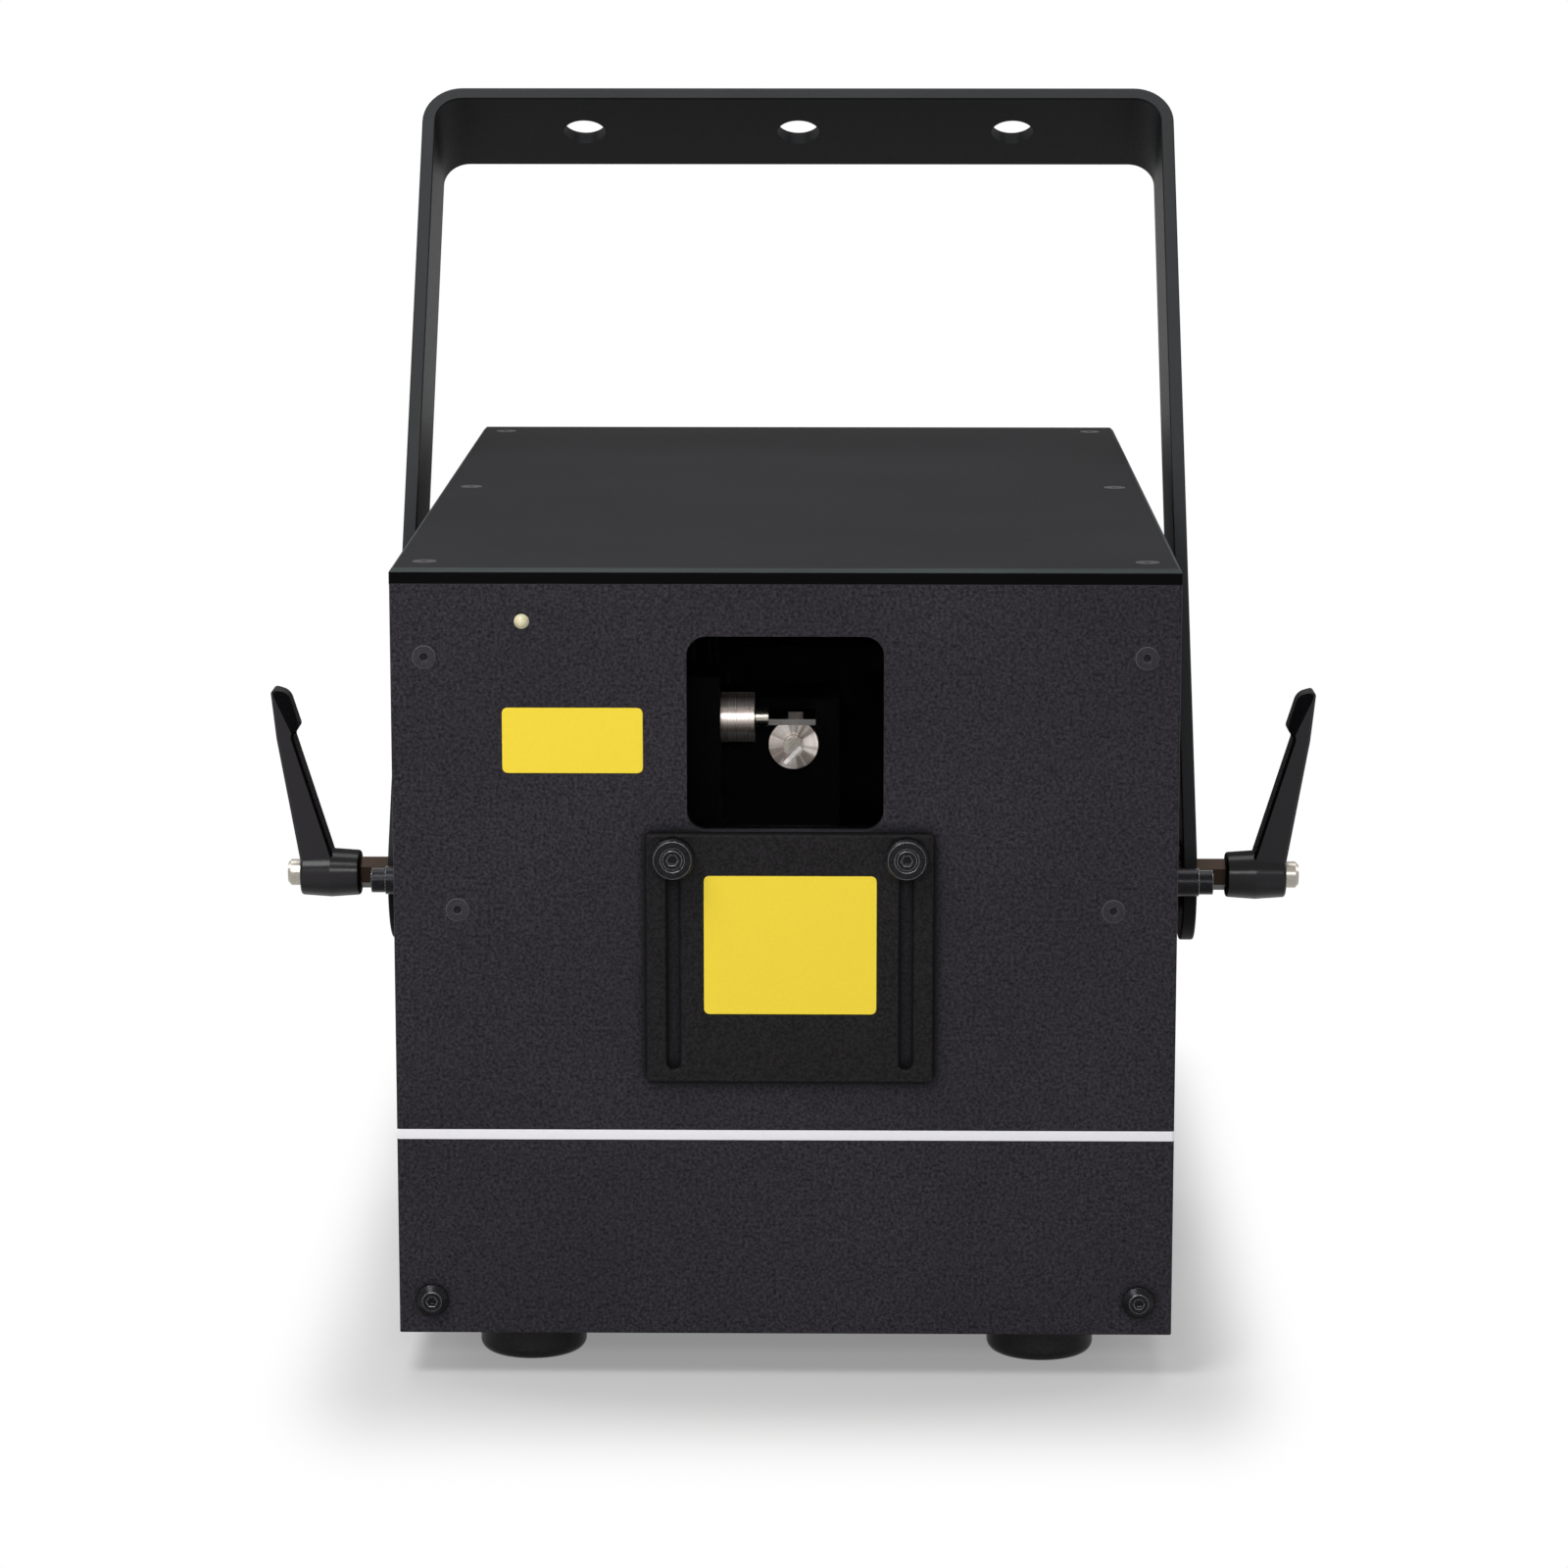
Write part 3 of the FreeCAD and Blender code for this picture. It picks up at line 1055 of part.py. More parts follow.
def make_data_sockets(rear_tools):
    """Round data inlet and outlet on square flanges, with the latch of the outlet."""
    z = below("sz.socket_drop")
    x_in = "(sz.socket_margin - %s)" % FLANGE_X
    x_out = "(%s + sz.socket_spacing)" % x_in
    contacts = ((-4, 2), (4, 2), (0, -5))
    blanks = {}
    for name, x in (("data_inlet", x_in), ("data_outlet", x_out)):
        flange = slab(name + "_flange", ("26", "2", "31"), (x, BACK, z + " - 15.5"))
        shell = cyl(name + "_shell", "11.5", "22", (x, BACK + " - 21", z), "y")
        rear_tools.append(cyl(name + "_cutout", "11.5", "20", (x, BACK + " - 10", z), "y"))
        blanks[name] = fuse(name + "_blank", [flange, shell])
    cup = cyl("inlet_cup_bore", "9.5", "30", (x_in, BACK + " - 15", z), "y")
    solids = [cut("inlet_hollow", blanks["data_inlet"], [cup])]
    holes = []
    for i, (dx, dz) in enumerate(contacts):
        rise = "%s + %d" % (z, dz)
        pin = ("%s + %d" % (x_in, dx), BACK + " - 15.5", rise)
        hole = ("%s + %d" % (x_out, dx), BACK + " - 12", rise)
        solids.append(cyl("inlet_pin_%d" % i, "1.25", "12.5", pin, "y"))
        holes.append(cyl("outlet_hole_%d" % i, "1.5", "30", hole, "y"))
    node(fuse("data_inlet", solids))
    ring = cyl("outlet_ring", "9.5", "30", (x_out, BACK + " - 13", z), "y")
    plug = cyl("outlet_plug", "8.2", "40", (x_out, BACK + " - 14", z), "y")
    notch = slab("outlet_notch", ("7", "30", "4"), (x_out, BACK + " - 10", z + " + 10.7"))
    rear_tools.append(notch)
    node(cut("data_outlet", blanks["data_outlet"], holes + [cut("outlet_gap", ring, [plug]), notch]))
    node(slab("outlet_latch", ("6.4", "12", "3.4"), (x_out, BACK + " - 7", z + " + 11")))


def make_signal_socket(rear_tools):
    """Wide signal socket with jack posts."""
    x = "(%s - sz.signal_margin)" % FLANGE_X
    z = below("sz.signal_drop")
    flange = slab("signal_flange", ("53", "1", "12.5"), (x, BACK, z + " - 6.25"))
    shell = slab("signal_shell", ("39", "18", "9"), (x, BACK + " - 12", z + " - 4.5"))
    recess = slab("signal_recess", ("36.4", "10", "6.4"), (x, BACK + " + 0.4", z + " - 3.2"))
    solids = [cut("signal_cup", fuse("signal_blank", [flange, shell]), [recess])]
    for side in (-1, 1):
        jack = ("%s + %d * 23.5" % (x, side), BACK, z)
        solids.append(hexagon("signal_jack_%d" % (side + 1), "5", "6", jack, "y"))
    node(fuse("signal_socket", solids))
    rear_tools.append(slab("signal_cutout", ("39", "20", "9"), (x, BACK + " - 10", z + " - 4.5")))


def make_lug(shanks):
    """Safety-wire lug screwed to the rear panel."""
    foot = slab("lug_foot", ("26", "sz.lug_thickness", "30"), (LUG_X, BACK, LUG_Z + " - 15"))
    tab = slab("lug_tab", ("sz.lug_thickness", "sz.lug_reach", "22"), (LUG_X, BACK, LUG_Z + " - 11"))
    eye = cyl("lug_eye", "sz.lug_hole", "40",
              (LUG_X + " - 20", BACK + " + sz.lug_reach - sz.lug_hole - 3.5", LUG_Z), "x")
    node(cut("safety_lug", fuse("lug_blank", [foot, tab]), [eye, shanks]))


def make_rear(tools, rear_tools):
    """Rear panel with every cut-out."""
    size = ("sz.body_width", "sz.sheet", LID_Z + " - sz.foot_height")
    plain = slab("rear_blank", size, ("0", BACK_IN, "sz.foot_height"))
    node(cut("rear_panel", plain, rear_tools + [tools["rear"], tools["lug"]]))


def build():
    """Make every sub-part."""
    tools = make_screws()
    foot_holes = make_feet()
    stops = make_pivots()
    rear_tools = []
    make_fan(rear_tools)
    make_power_inlet(rear_tools)
    make_key_switch(rear_tools)
    make_data_sockets(rear_tools)
    make_signal_socket(rear_tools)
    make_lug(tools["lug"])
    make_front_plate(tools)
    make_lid(tools)
    make_base(tools, foot_holes)
    make_walls(tools, group("wall_shanks", [stops, tools["lug"]]))
    make_rear(tools, rear_tools)
    make_window()
    make_shutter()
    make_led()
    make_bracket()
    for name, side in SIDES.items():
        make_lever(name, side)
    make_bench()
    make_galvos()
    make_lasers()
    make_electronics()


def check_and_export():
    """Stop on any broken object, then write one STEP file per sub-part."""
    doc.recompute()
    for obj in doc.Objects:
        if "Invalid" in obj.State or "Error" in obj.State:
            raise RuntimeError("%s is %s" % (obj.Name, obj.State))
    for label, obj in NODES.items():
        if obj.Shape.isNull() or not obj.Shape.isValid() or not obj.Shape.Solids:
            raise RuntimeError("%s has no valid solid" % label)
        obj.Shape.exportStep("parts/%s.step" % label)
        edge = obj.Shape.optimalBoundingBox()
        low = "%7.1f %7.1f %7.1f" % (edge.XMin, edge.YMin, edge.ZMin)
        high = "%7.1f %7.1f %7.1f" % (edge.XMax, edge.YMax, edge.ZMax)
        print("%-20s solids %2d  from %s  to %s" % (label, len(obj.Shape.Solids), low, high))


build()
check_and_export()
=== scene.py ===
"""Finishes, trim and studio of a laser show projector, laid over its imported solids."""
import math

import bmesh
import bpy
import numpy as np
from bpy.props import FloatProperty, FloatVectorProperty, IntProperty, PointerProperty
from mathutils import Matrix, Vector


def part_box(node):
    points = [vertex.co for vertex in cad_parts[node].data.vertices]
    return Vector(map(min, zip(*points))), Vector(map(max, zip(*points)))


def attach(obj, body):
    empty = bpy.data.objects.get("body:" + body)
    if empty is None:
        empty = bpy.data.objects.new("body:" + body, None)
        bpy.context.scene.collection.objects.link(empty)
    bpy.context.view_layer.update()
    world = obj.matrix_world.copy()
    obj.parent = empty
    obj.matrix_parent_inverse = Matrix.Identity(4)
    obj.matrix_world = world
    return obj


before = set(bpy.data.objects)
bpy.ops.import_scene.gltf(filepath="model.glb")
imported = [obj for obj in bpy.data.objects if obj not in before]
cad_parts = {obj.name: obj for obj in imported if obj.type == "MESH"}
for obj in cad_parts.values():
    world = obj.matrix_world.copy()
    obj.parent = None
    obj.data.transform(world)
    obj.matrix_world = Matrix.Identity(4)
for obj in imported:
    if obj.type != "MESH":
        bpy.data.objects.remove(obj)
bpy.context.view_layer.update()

bl_info = {
    "name": "Laser show projector",
    "version": (1, 0, 0),
    "blender": (4, 5, 0),
    "location": "View3D > Sidebar > Projector",
    "description": "Finishes, trim and studio of a laser show projector",
    "category": "Object",
}

MM = 0.001
FRONT_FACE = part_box("front_plate")[0].y
SHUTTER_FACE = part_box("shutter_plate")[0].y
REAR_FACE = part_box("rear_panel")[1].y
BODY_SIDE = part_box("front_plate")[1].x


def linear(code):
    """sRGB hex code as linear red, green and blue, by the standard's own curve."""
    rgb = np.array([int(code[i:i + 2], 16) for i in (1, 3, 5)]) / 255
    return tuple(np.where(rgb <= 0.04045, rgb / 12.92, ((rgb + 0.055) / 1.055) ** 2.4).tolist())


def length(name, words, default):
    """A length that the user may change, in metres."""
    return FloatProperty(name=name, description=words, default=default, min=0, unit="LENGTH",
                         subtype="DISTANCE")


def colour(name, words, code):
    """A colour that the user may change."""
    return FloatVectorProperty(name=name, description=words, default=linear(code), size=3, min=0, max=1,
                               subtype="COLOR")


class PROJECTOR_PG_sizes(bpy.types.PropertyGroup):
    """Sizes of the trim that the scene adds to the solids."""
    stripe_level: length("Stripe level", "Height of the printed stripe's middle over the floor", 65.0 * MM)
    stripe_height: length("Stripe height", "Width of the printed stripe", 2.6 * MM)
    stripe_wrap: length("Stripe wrap", "Radius of the corners that the stripe runs round", 0.8 * MM)
    film: length("Film", "Thickness of the vinyl labels and twice that of the printed stripe", 0.12 * MM)
    side_label_width: length("Side label width", "Width of the blank label by the aperture", 35.7 * MM)
    side_label_height: length("Side label height", "Height of the blank label by the aperture", 16.8 * MM)
    shutter_label_width: length("Shutter label width", "Width of the blank shutter label", 44.0 * MM)
    shutter_label_height: length("Shutter label height", "Height of the blank shutter label", 36.0 * MM)
    label_corner: length("Label corner", "Corner radius of the vinyl labels", 1.6 * MM)
    pin_radius: length("Pin radius", "Radius of a contact of the signal socket", 0.5 * MM)
    pin_pitch: length("Pin pitch", "Spacing of the contacts of the signal socket", 2.77 * MM)
    pin_count: IntProperty(name="Pin count", description="Contacts in the longer row of the signal socket",
                           default=13, min=2, max=30)


class PROJECTOR_PG_colours(bpy.types.PropertyGroup):
    """Colours of the trim and of the studio."""
    label: colour("Label", "Yellow of the blank vinyl labels", "#f9dc34")
    ink: colour("Ink", "White of the printed stripe", "#f4f2f6")
    lamp: colour("Lamp", "Diffused lens of the emission lamp", "#e9e2bd")
    floor: colour("Floor", "Paint of the studio floor", "#c8c8c8")


def node(tree, kind, inputs=(), **settings):
    """Adds one shader node, makes its settings and fills its inputs with values or other sockets."""
    made = tree.nodes.new("ShaderNode" + kind)
    for key, value in settings.items():
        setattr(made, key, value)
    for key, value in dict(inputs).items():
        if isinstance(value, bpy.types.NodeSocket):
            tree.links.new(value, made.inputs[key])
        else:
            made.inputs[key].default_value = value
    return made


def new_material(name, **inputs):
    """An empty material with a Principled shader; returns the material, its tree and the shader."""
    material = bpy.data.materials.new(name)
    material.use_nodes = True
    tree = material.node_tree
    tree.nodes.clear()
    shader = node(tree, "BsdfPrincipled", {key.replace("_", " "): value for key, value in inputs.items()})
    node(tree, "OutputMaterial", {"Surface": shader.outputs["BSDF"]})
    return material, tree, shader


def feed(tree, shader, **sockets):
    """Links the shader's inputs to what other nodes give."""
    for key, socket in sockets.items():
        tree.links.new(socket, shader.inputs[key.replace("_", " ")])


def solid(code):
    """Hex code as the four numbers of a colour socket."""
    return (*linear(code), 1.0)


def middle(name):
    """Middle of a solid's box at rest."""
    low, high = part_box(name)
    return (low + high) / 2


# Directions by which some finishes tell faces apart, to paint highlights and shade on them. The strap is
# sheared across its thickness, so its cut edges look along the last one while it leans back at rest, and get
# a painted highlight there
UP = (0.0, 0.0, 1.0)
BACK = (0.0, 1.0, 0.0)
STRAP_LEAN = math.radians(35.7)
STRAP_CUT = (0.0, -math.cos(STRAP_LEAN), math.sin(STRAP_LEAN))

# Cosine of half a right angle, at which the lid's chamfers and the scan mirrors stand
DIAGONAL = math.sqrt(0.5)

# Each finish: the two colours its grain runs between, the grain size in mm and its stretch along X, Y and Z,
# the least and most roughness, the height of the grain in mm, and what the shader needs beside that.
# A grain that is too fine to show is drawn as coarse as it needs to be.
# A light edge is paler colour along sharp edges: partly wear, partly a painted highlight where the edges
# catch the light. Flats are the faces that stand at one angle (as its cosine) to a direction, where the same
# finish has another colour: a painted highlight or painted shade for how those faces meet the light. The
# painted shade reach is the distance in mm within which other solids darken the colour: painted shade in
# gaps, round the parts that sit on a face and beside the housing. Flanks are the faces that look across the
# direction of the last flats, and their roughness.
FINISHES = {
    # Powder coat with a fine sand texture: dull, with a dense mottle of paler and darker grains, and painted
    # shade in the slots and round the parts set on it
    "textured_powder_coat": dict(colours=("#100f12", "#3b383f"), grain=0.8, rough=(0.50, 0.70), bump=0.06,
                                 edge="#3a393c", crevice=3.0, Specular_IOR_Level=0.1),
    # The same coat, thinner and darker, on the loose shutter
    "shutter_powder_coat": dict(colours=("#090809", "#262426"), grain=0.8, rough=(0.50, 0.68), bump=0.06,
                                edge="#2a282b", Specular_IOR_Level=0.1),
    # Smooth satin powder coat on sheet: an even soft reflection and hardly any grain, with a painted
    # highlight on the chamfers and painted shade on the upright edge faces
    "satin_powder_coat": dict(colours=("#161618", "#212123"), grain=1.2, rough=(0.66, 0.76), bump=0.012,
                              edge="#3f4344", flats=((UP, DIAGONAL, "#3e4343"), (UP, 0.0, "#070708")),
                              Specular_IOR_Level=0.03),
    # Powder coat with a fine orange peel on the folded case: charcoal, with a low sheen
    "case_powder_coat": dict(colours=("#19181a", "#363338"), grain=1.0, rough=(0.46, 0.62), bump=0.04,
                             edge="#3f4144", Specular_IOR_Level=0.1),
    # Powder coat on thick strap: satin black faces, a painted highlight on the cut edges, and painted shade
    # where it runs beside the housing
    "strap_powder_coat": dict(colours=("#0a0b0b", "#121312"), grain=0.8, rough=(0.50, 0.62), bump=0.03,
                              edge="#3c3e41", flats=((STRAP_CUT, 1.0, "#303234"),), crevice=30.0,
                              Specular_IOR_Level=0.1),
    # Coat on die-cast zinc: satin black, a painted highlight on the arm's flats and the hub's front, dull on
    # its cast flanks
    "die_cast_coat": dict(colours=("#070708", "#0d0d0f"), grain=0.7, rough=(0.16, 0.24), bump=0.004,
                          flats=((BACK, 1.0, "#232024"),), flanks=0.8, Specular_IOR_Level=0.2),
    # Black oxide on turned steel: near-black metal, with painted glints along its edges
    "black_oxide_steel": dict(colours=("#151517", "#242427"), grain=0.6, rough=(0.22, 0.38), bump=0.006,
                              edge="#d0d0d4", Metallic=0.9),
    # Black oxide worn dull on the heads that lie flush with the lid and the front, painted paler all over as
    # a sheen like the coat round them, with painted glints along the edges
    "dull_black_oxide": dict(colours=("#2f2d31", "#403e42"), grain=0.6, rough=(0.40, 0.55), bump=0.006,
                             edge="#808086", Specular_IOR_Level=0.04),
    # Zinc plate on steel: pale grey metal with a faint blue and cloudy lustre
    "zinc_plated_steel": dict(colours=("#999ca0", "#abadb0"), grain=1.5, rough=(0.26, 0.38), bump=0.003,
                              Metallic=1.0),
    # Nickel-bright steel: clear reflections broken by fine turning marks
    "bright_steel": dict(colours=("#8f8a81", "#b3aea5"), grain=0.5, stretch=(1, 8, 8), rough=(0.20, 0.32),
                         bump=0.003, Metallic=1.0),
    # Burnished steel bar: brownish bare metal, drawn lengthwise
    "burnished_steel": dict(colours=("#1e1814", "#352a23"), grain=0.7, stretch=(12, 1, 1),
                            rough=(0.34, 0.48), bump=0.004, Metallic=1.0),
    # Moulded rubber: deep black with a soft sheen and a fine mould grain
    "moulded_rubber": dict(colours=("#1a191b", "#262427"), grain=0.9, rough=(0.30, 0.40), bump=0.004,
                           Specular_IOR_Level=0.2),
    # Moulded black plastic with a spark-eroded grain
    "grained_plastic": dict(colours=("#101012", "#1a1a1d"), grain=0.5, rough=(0.48, 0.62), bump=0.015,
                            Specular_IOR_Level=0.45),
    # Polished moulded plastic: smooth enough for a clear highlight
    "gloss_plastic": dict(colours=("#0b0b0d", "#121214"), grain=5.0, rough=(0.14, 0.22), bump=0.003,
                          Specular_IOR_Level=0.5),
    # Black anodised aluminium: dull bead-blasted metal oxide
    "black_anodise": dict(colours=("#020203", "#050506"), grain=0.4, rough=(0.46, 0.60), bump=0.006,
                          Specular_IOR_Level=0.02),
    # Milled aluminium: bright metal with cutter lines one way
    "milled_aluminium": dict(colours=("#a9abad", "#c6c7c9"), grain=0.8, stretch=(1, 14, 1),
                             rough=(0.28, 0.44), bump=0.005, Metallic=1.0),
    # Hot-dip galvanised sheet: grey metal with coarse spangle
    "galvanised_sheet": dict(colours=("#85888b", "#b0b2b4"), grain=7.0, rough=(0.34, 0.52), bump=0.004,
                             Metallic=1.0),
    # Dichroic coat on glass: reflection that runs from blue to amber
    "dichroic_coat": dict(colours=("#7c8fb8", "#c9b48a"), grain=9.0, rough=(0.03, 0.08), bump=0.001,
                          Metallic=0.8),
    # Gold flash on brass contacts: warm bright metal
    "gold_flash": dict(colours=("#c79a45", "#e3be6c"), grain=0.8, rough=(0.2, 0.32), bump=0.002,
                       Metallic=1.0),
}

# Which finish each solid gets
WEARS = {
    "textured_powder_coat": ("front_plate",),
    "shutter_powder_coat": ("shutter_plate",),
    "satin_powder_coat": ("lid",),
    "case_powder_coat": ("base_plate", "side_wall_left", "side_wall_right", "rear_panel"),
    "strap_powder_coat": ("bracket",),
    "die_cast_coat": ("lever_handle_left", "lever_handle_right"),
    "black_oxide_steel": ("button_head_screws", "round_head_screws", "shutter_knob_left",
                          "shutter_knob_right", "stop_screws", "stop_sleeves", "pivot_spacers"),
    "dull_black_oxide": ("countersunk_screws",),
    "zinc_plated_steel": ("foot_screws", "pivot_nut_plates", "fan_guard", "key_switch", "safety_lug"),
    "bright_steel": ("lever_cap_left", "lever_cap_right", "scan_shaft_x", "scan_shaft_y", "key_barrel",
                     "outlet_latch"),
    "burnished_steel": ("lever_stud_left", "lever_stud_right"),
    "moulded_rubber": ("rubber_feet",),
    "grained_plastic": ("fan_frame", "fan_rotor", "mains_inlet", "rocker_frame"),
    "gloss_plastic": ("power_rocker",),
    "black_anodise": ("window_retainer", "galvo_block", "optical_bench", "laser_module_red",
                      "laser_module_green", "laser_module_blue", "combiner_mounts"),
    "milled_aluminium": ("bench_posts",),
    "galvanised_sheet": ("power_supply",),
    "dichroic_coat": ("combiner_mirrors",),
}

# The galvo cans and the axis that each was turned about
CANS = {"galvo_motor_x": 0, "galvo_motor_y": 1}

# The direction across each scan mirror, and where its ground side starts along that
MIRROR_SIDES = {"scan_mirror_x": ((0.0, DIAGONAL, -DIAGONAL), 0.2 * MM),
                "scan_mirror_y": ((DIAGONAL, 0.0, DIAGONAL), -1.6 * MM)}

# The insert of each socket: its radius, and how far its front lies behind the socket's, or before it
INSERTS = {"data_inlet": (9.4 * MM, 16.8 * MM), "data_outlet": (8.3 * MM, -1.0 * MM),
           "signal_socket": (40.0 * MM, 5.6 * MM)}

# Levels of the grain's noise that give the first and second colour, and the least and most roughness
GRAIN_LEVELS = (0.34, 0.68)
GLOSS_LEVELS = (0.3, 0.7)

# Clouds over the grain: their size, the levels of their noise, and how far they dim and lift the colour
CLOUD_SIZE = 45 * MM
CLOUD_LEVELS = (0.3, 0.7)
CLOUD_GAIN = (0.9, 1.08)

# How far a face's cosine may be off that of the flats before it has none, and to have all, of their colour
FLAT_SPREAD = (0.1, 0.02)

# Cosines to the flats' direction up to which a face is a flank, and from which it is none
FLANK_SPREAD = (0.35, 0.55)

# Open share round a point at which the painted shade is darkest and at which there is none, and how much
# colour the darkest keeps
PAINTED_SHADE_LEVELS = (0.6, 0.96)
PAINTED_SHADE_DARK = 0.08

# A paler edge, partly wear and partly painted highlight: its radius, the cosines at which it sets in and is
# full, and how much of it shows then
EDGE_RADIUS = 0.35 * MM
EDGE_TURN = (0.98, 0.72)
EDGE_SHARE = 0.75


def grained(name, colours, grain, rough, bump, stretch=(1, 1, 1), flats=(), flanks=0, edge=None, crevice=0,
            **inputs):
    """A finish whose colour, gloss and relief follow one noise of a real grain size, with clouds over it,
    and painted highlights and painted shade where a finish asks for them.
    """
    material, tree, shader = new_material(name, **inputs)
    held = node(tree, "TexCoord").outputs
    place = held["Object"]
    laid = node(tree, "Mapping", {"Vector": place, "Scale": stretch}).outputs["Vector"]
    fine = node(tree, "TexNoise", {"Vector": laid, "Scale": 1 / (grain * MM), "Detail": 3.0,
                                   "Roughness": 0.62}).outputs["Fac"]
    cloud = node(tree, "TexNoise", {"Vector": place, "Scale": 1 / CLOUD_SIZE, "Detail": 2.0}).outputs["Fac"]
    level = node(tree, "MapRange", {"Value": fine, "From Min": GRAIN_LEVELS[0],
                                    "From Max": GRAIN_LEVELS[1]}).outputs["Result"]
    tint = node(tree, "Mix", {"Factor": level, "A": solid(colours[0]), "B": solid(colours[1])},
                data_type="RGBA").outputs["Result"]
    # Painted highlight or painted shade on the faces that stand at the flats' angle to their direction
    for way, cosine, code in flats:
        looks = node(tree, "VectorMath", {0: held["Normal"], 1: way}, operation="DOT_PRODUCT")
        square = node(tree, "Math", {0: looks.outputs["Value"]}, operation="ABSOLUTE").outputs["Value"]
        apart = node(tree, "Math", {0: square, 1: cosine}, operation="SUBTRACT").outputs["Value"]
        apart = node(tree, "Math", {0: apart}, operation="ABSOLUTE").outputs["Value"]
        share = node(tree, "MapRange", {"Value": apart, "From Min": FLAT_SPREAD[0],
                                        "From Max": FLAT_SPREAD[1]}).outputs["Result"]
        tint = node(tree, "Mix", {"Factor": share, "A": tint, "B": solid(code)},
                    data_type="RGBA").outputs["Result"]
    gain = node(tree, "MapRange", {"Value": cloud, "From Min": CLOUD_LEVELS[0], "From Max": CLOUD_LEVELS[1],
                                   "To Min": CLOUD_GAIN[0], "To Max": CLOUD_GAIN[1]}).outputs["Result"]
    tint = node(tree, "VectorMath", {0: tint, "Scale": gain}, operation="SCALE").outputs["Vector"]
    # Painted shade: the colour darkens where other solids stand within reach
    if crevice:
        clear = node(tree, "AmbientOcclusion", {"Distance": crevice * MM}, samples=8).outputs["AO"]
        painted_shade_gain = node(tree, "MapRange", {"Value": clear, "From Min": PAINTED_SHADE_LEVELS[0],
                                       "From Max": PAINTED_SHADE_LEVELS[1], "To Min": PAINTED_SHADE_DARK})
        tint = node(tree, "VectorMath", {0: tint, "Scale": painted_shade_gain.outputs["Result"]},
                    operation="SCALE").outputs["Vector"]
    gloss = node(tree, "MapRange", {"Value": fine, "From Min": GLOSS_LEVELS[0], "From Max": GLOSS_LEVELS[1],
                                    "To Min": rough[0], "To Max": rough[1]}).outputs["Result"]
    if flanks:
        facing = node(tree, "MapRange", {"Value": square, "From Min": FLANK_SPREAD[0],
                                         "From Max": FLANK_SPREAD[1]}).outputs["Result"]
        gloss = node(tree, "Mix", {"Factor": facing, "A": flanks, "B": gloss}).outputs["Result"]
    relief = {"Height": fine, "Distance": bump * MM, "Strength": 1.0}
    # Paler colour along sharp edges: partly wear, partly painted highlight
    if edge:
        soft = node(tree, "Bevel", {"Radius": EDGE_RADIUS}, samples=4).outputs["Normal"]
        flat = node(tree, "NewGeometry").outputs["Normal"]
        turn = node(tree, "VectorMath", {0: soft, 1: flat}, operation="DOT_PRODUCT").outputs["Value"]
        wear_and_highlight = node(tree, "MapRange", {"Value": turn, "From Min": EDGE_TURN[0], "From Max": EDGE_TURN[1],
                                       "To Max": EDGE_SHARE}).outputs["Result"]
        tint = node(tree, "Mix", {"Factor": wear_and_highlight, "A": tint, "B": solid(edge)},
                    data_type="RGBA").outputs["Result"]
        relief["Normal"] = soft
    feed(tree, shader, Base_Color=tint, Roughness=gloss, Normal=node(tree, "Bump", relief).outputs["Normal"])
    return material


def places(tree, centre):
    """Where a point lies: in the object's own coordinates, and from the middle of its solid."""
    place = node(tree, "TexCoord").outputs["Object"]
    about = node(tree, "Mapping", {"Vector": place, "Location": [-value for value in centre]})
    return place, about.outputs["Vector"]


def round_axis(tree, about, axis):
    """How a point lies round an axis: the way out to it, square to the axis, and the length of that way."""
    across = [0.0 if i == axis else 1.0 for i in range(3)]
    ring = node(tree, "VectorMath", {0: about, 1: across}, operation="MULTIPLY").outputs["Vector"]
    return ring, node(tree, "VectorMath", {0: ring}, operation="LENGTH").outputs["Value"]


# Tool marks of a turned can, drawn coarser than real ones so that they show, and their height
MARK_SPACING = 0.25 * MM
MARK_HEIGHT = 0.01 * MM

# Sectors painted paler and darker round the can's axis, a painted reflection of how turned metal catches the
# light: waves to a radius, and the levels of their noise
PAINTED_REFLECTION_WAVES = 1.8
PAINTED_REFLECTION_LEVELS = (0.42, 0.58)


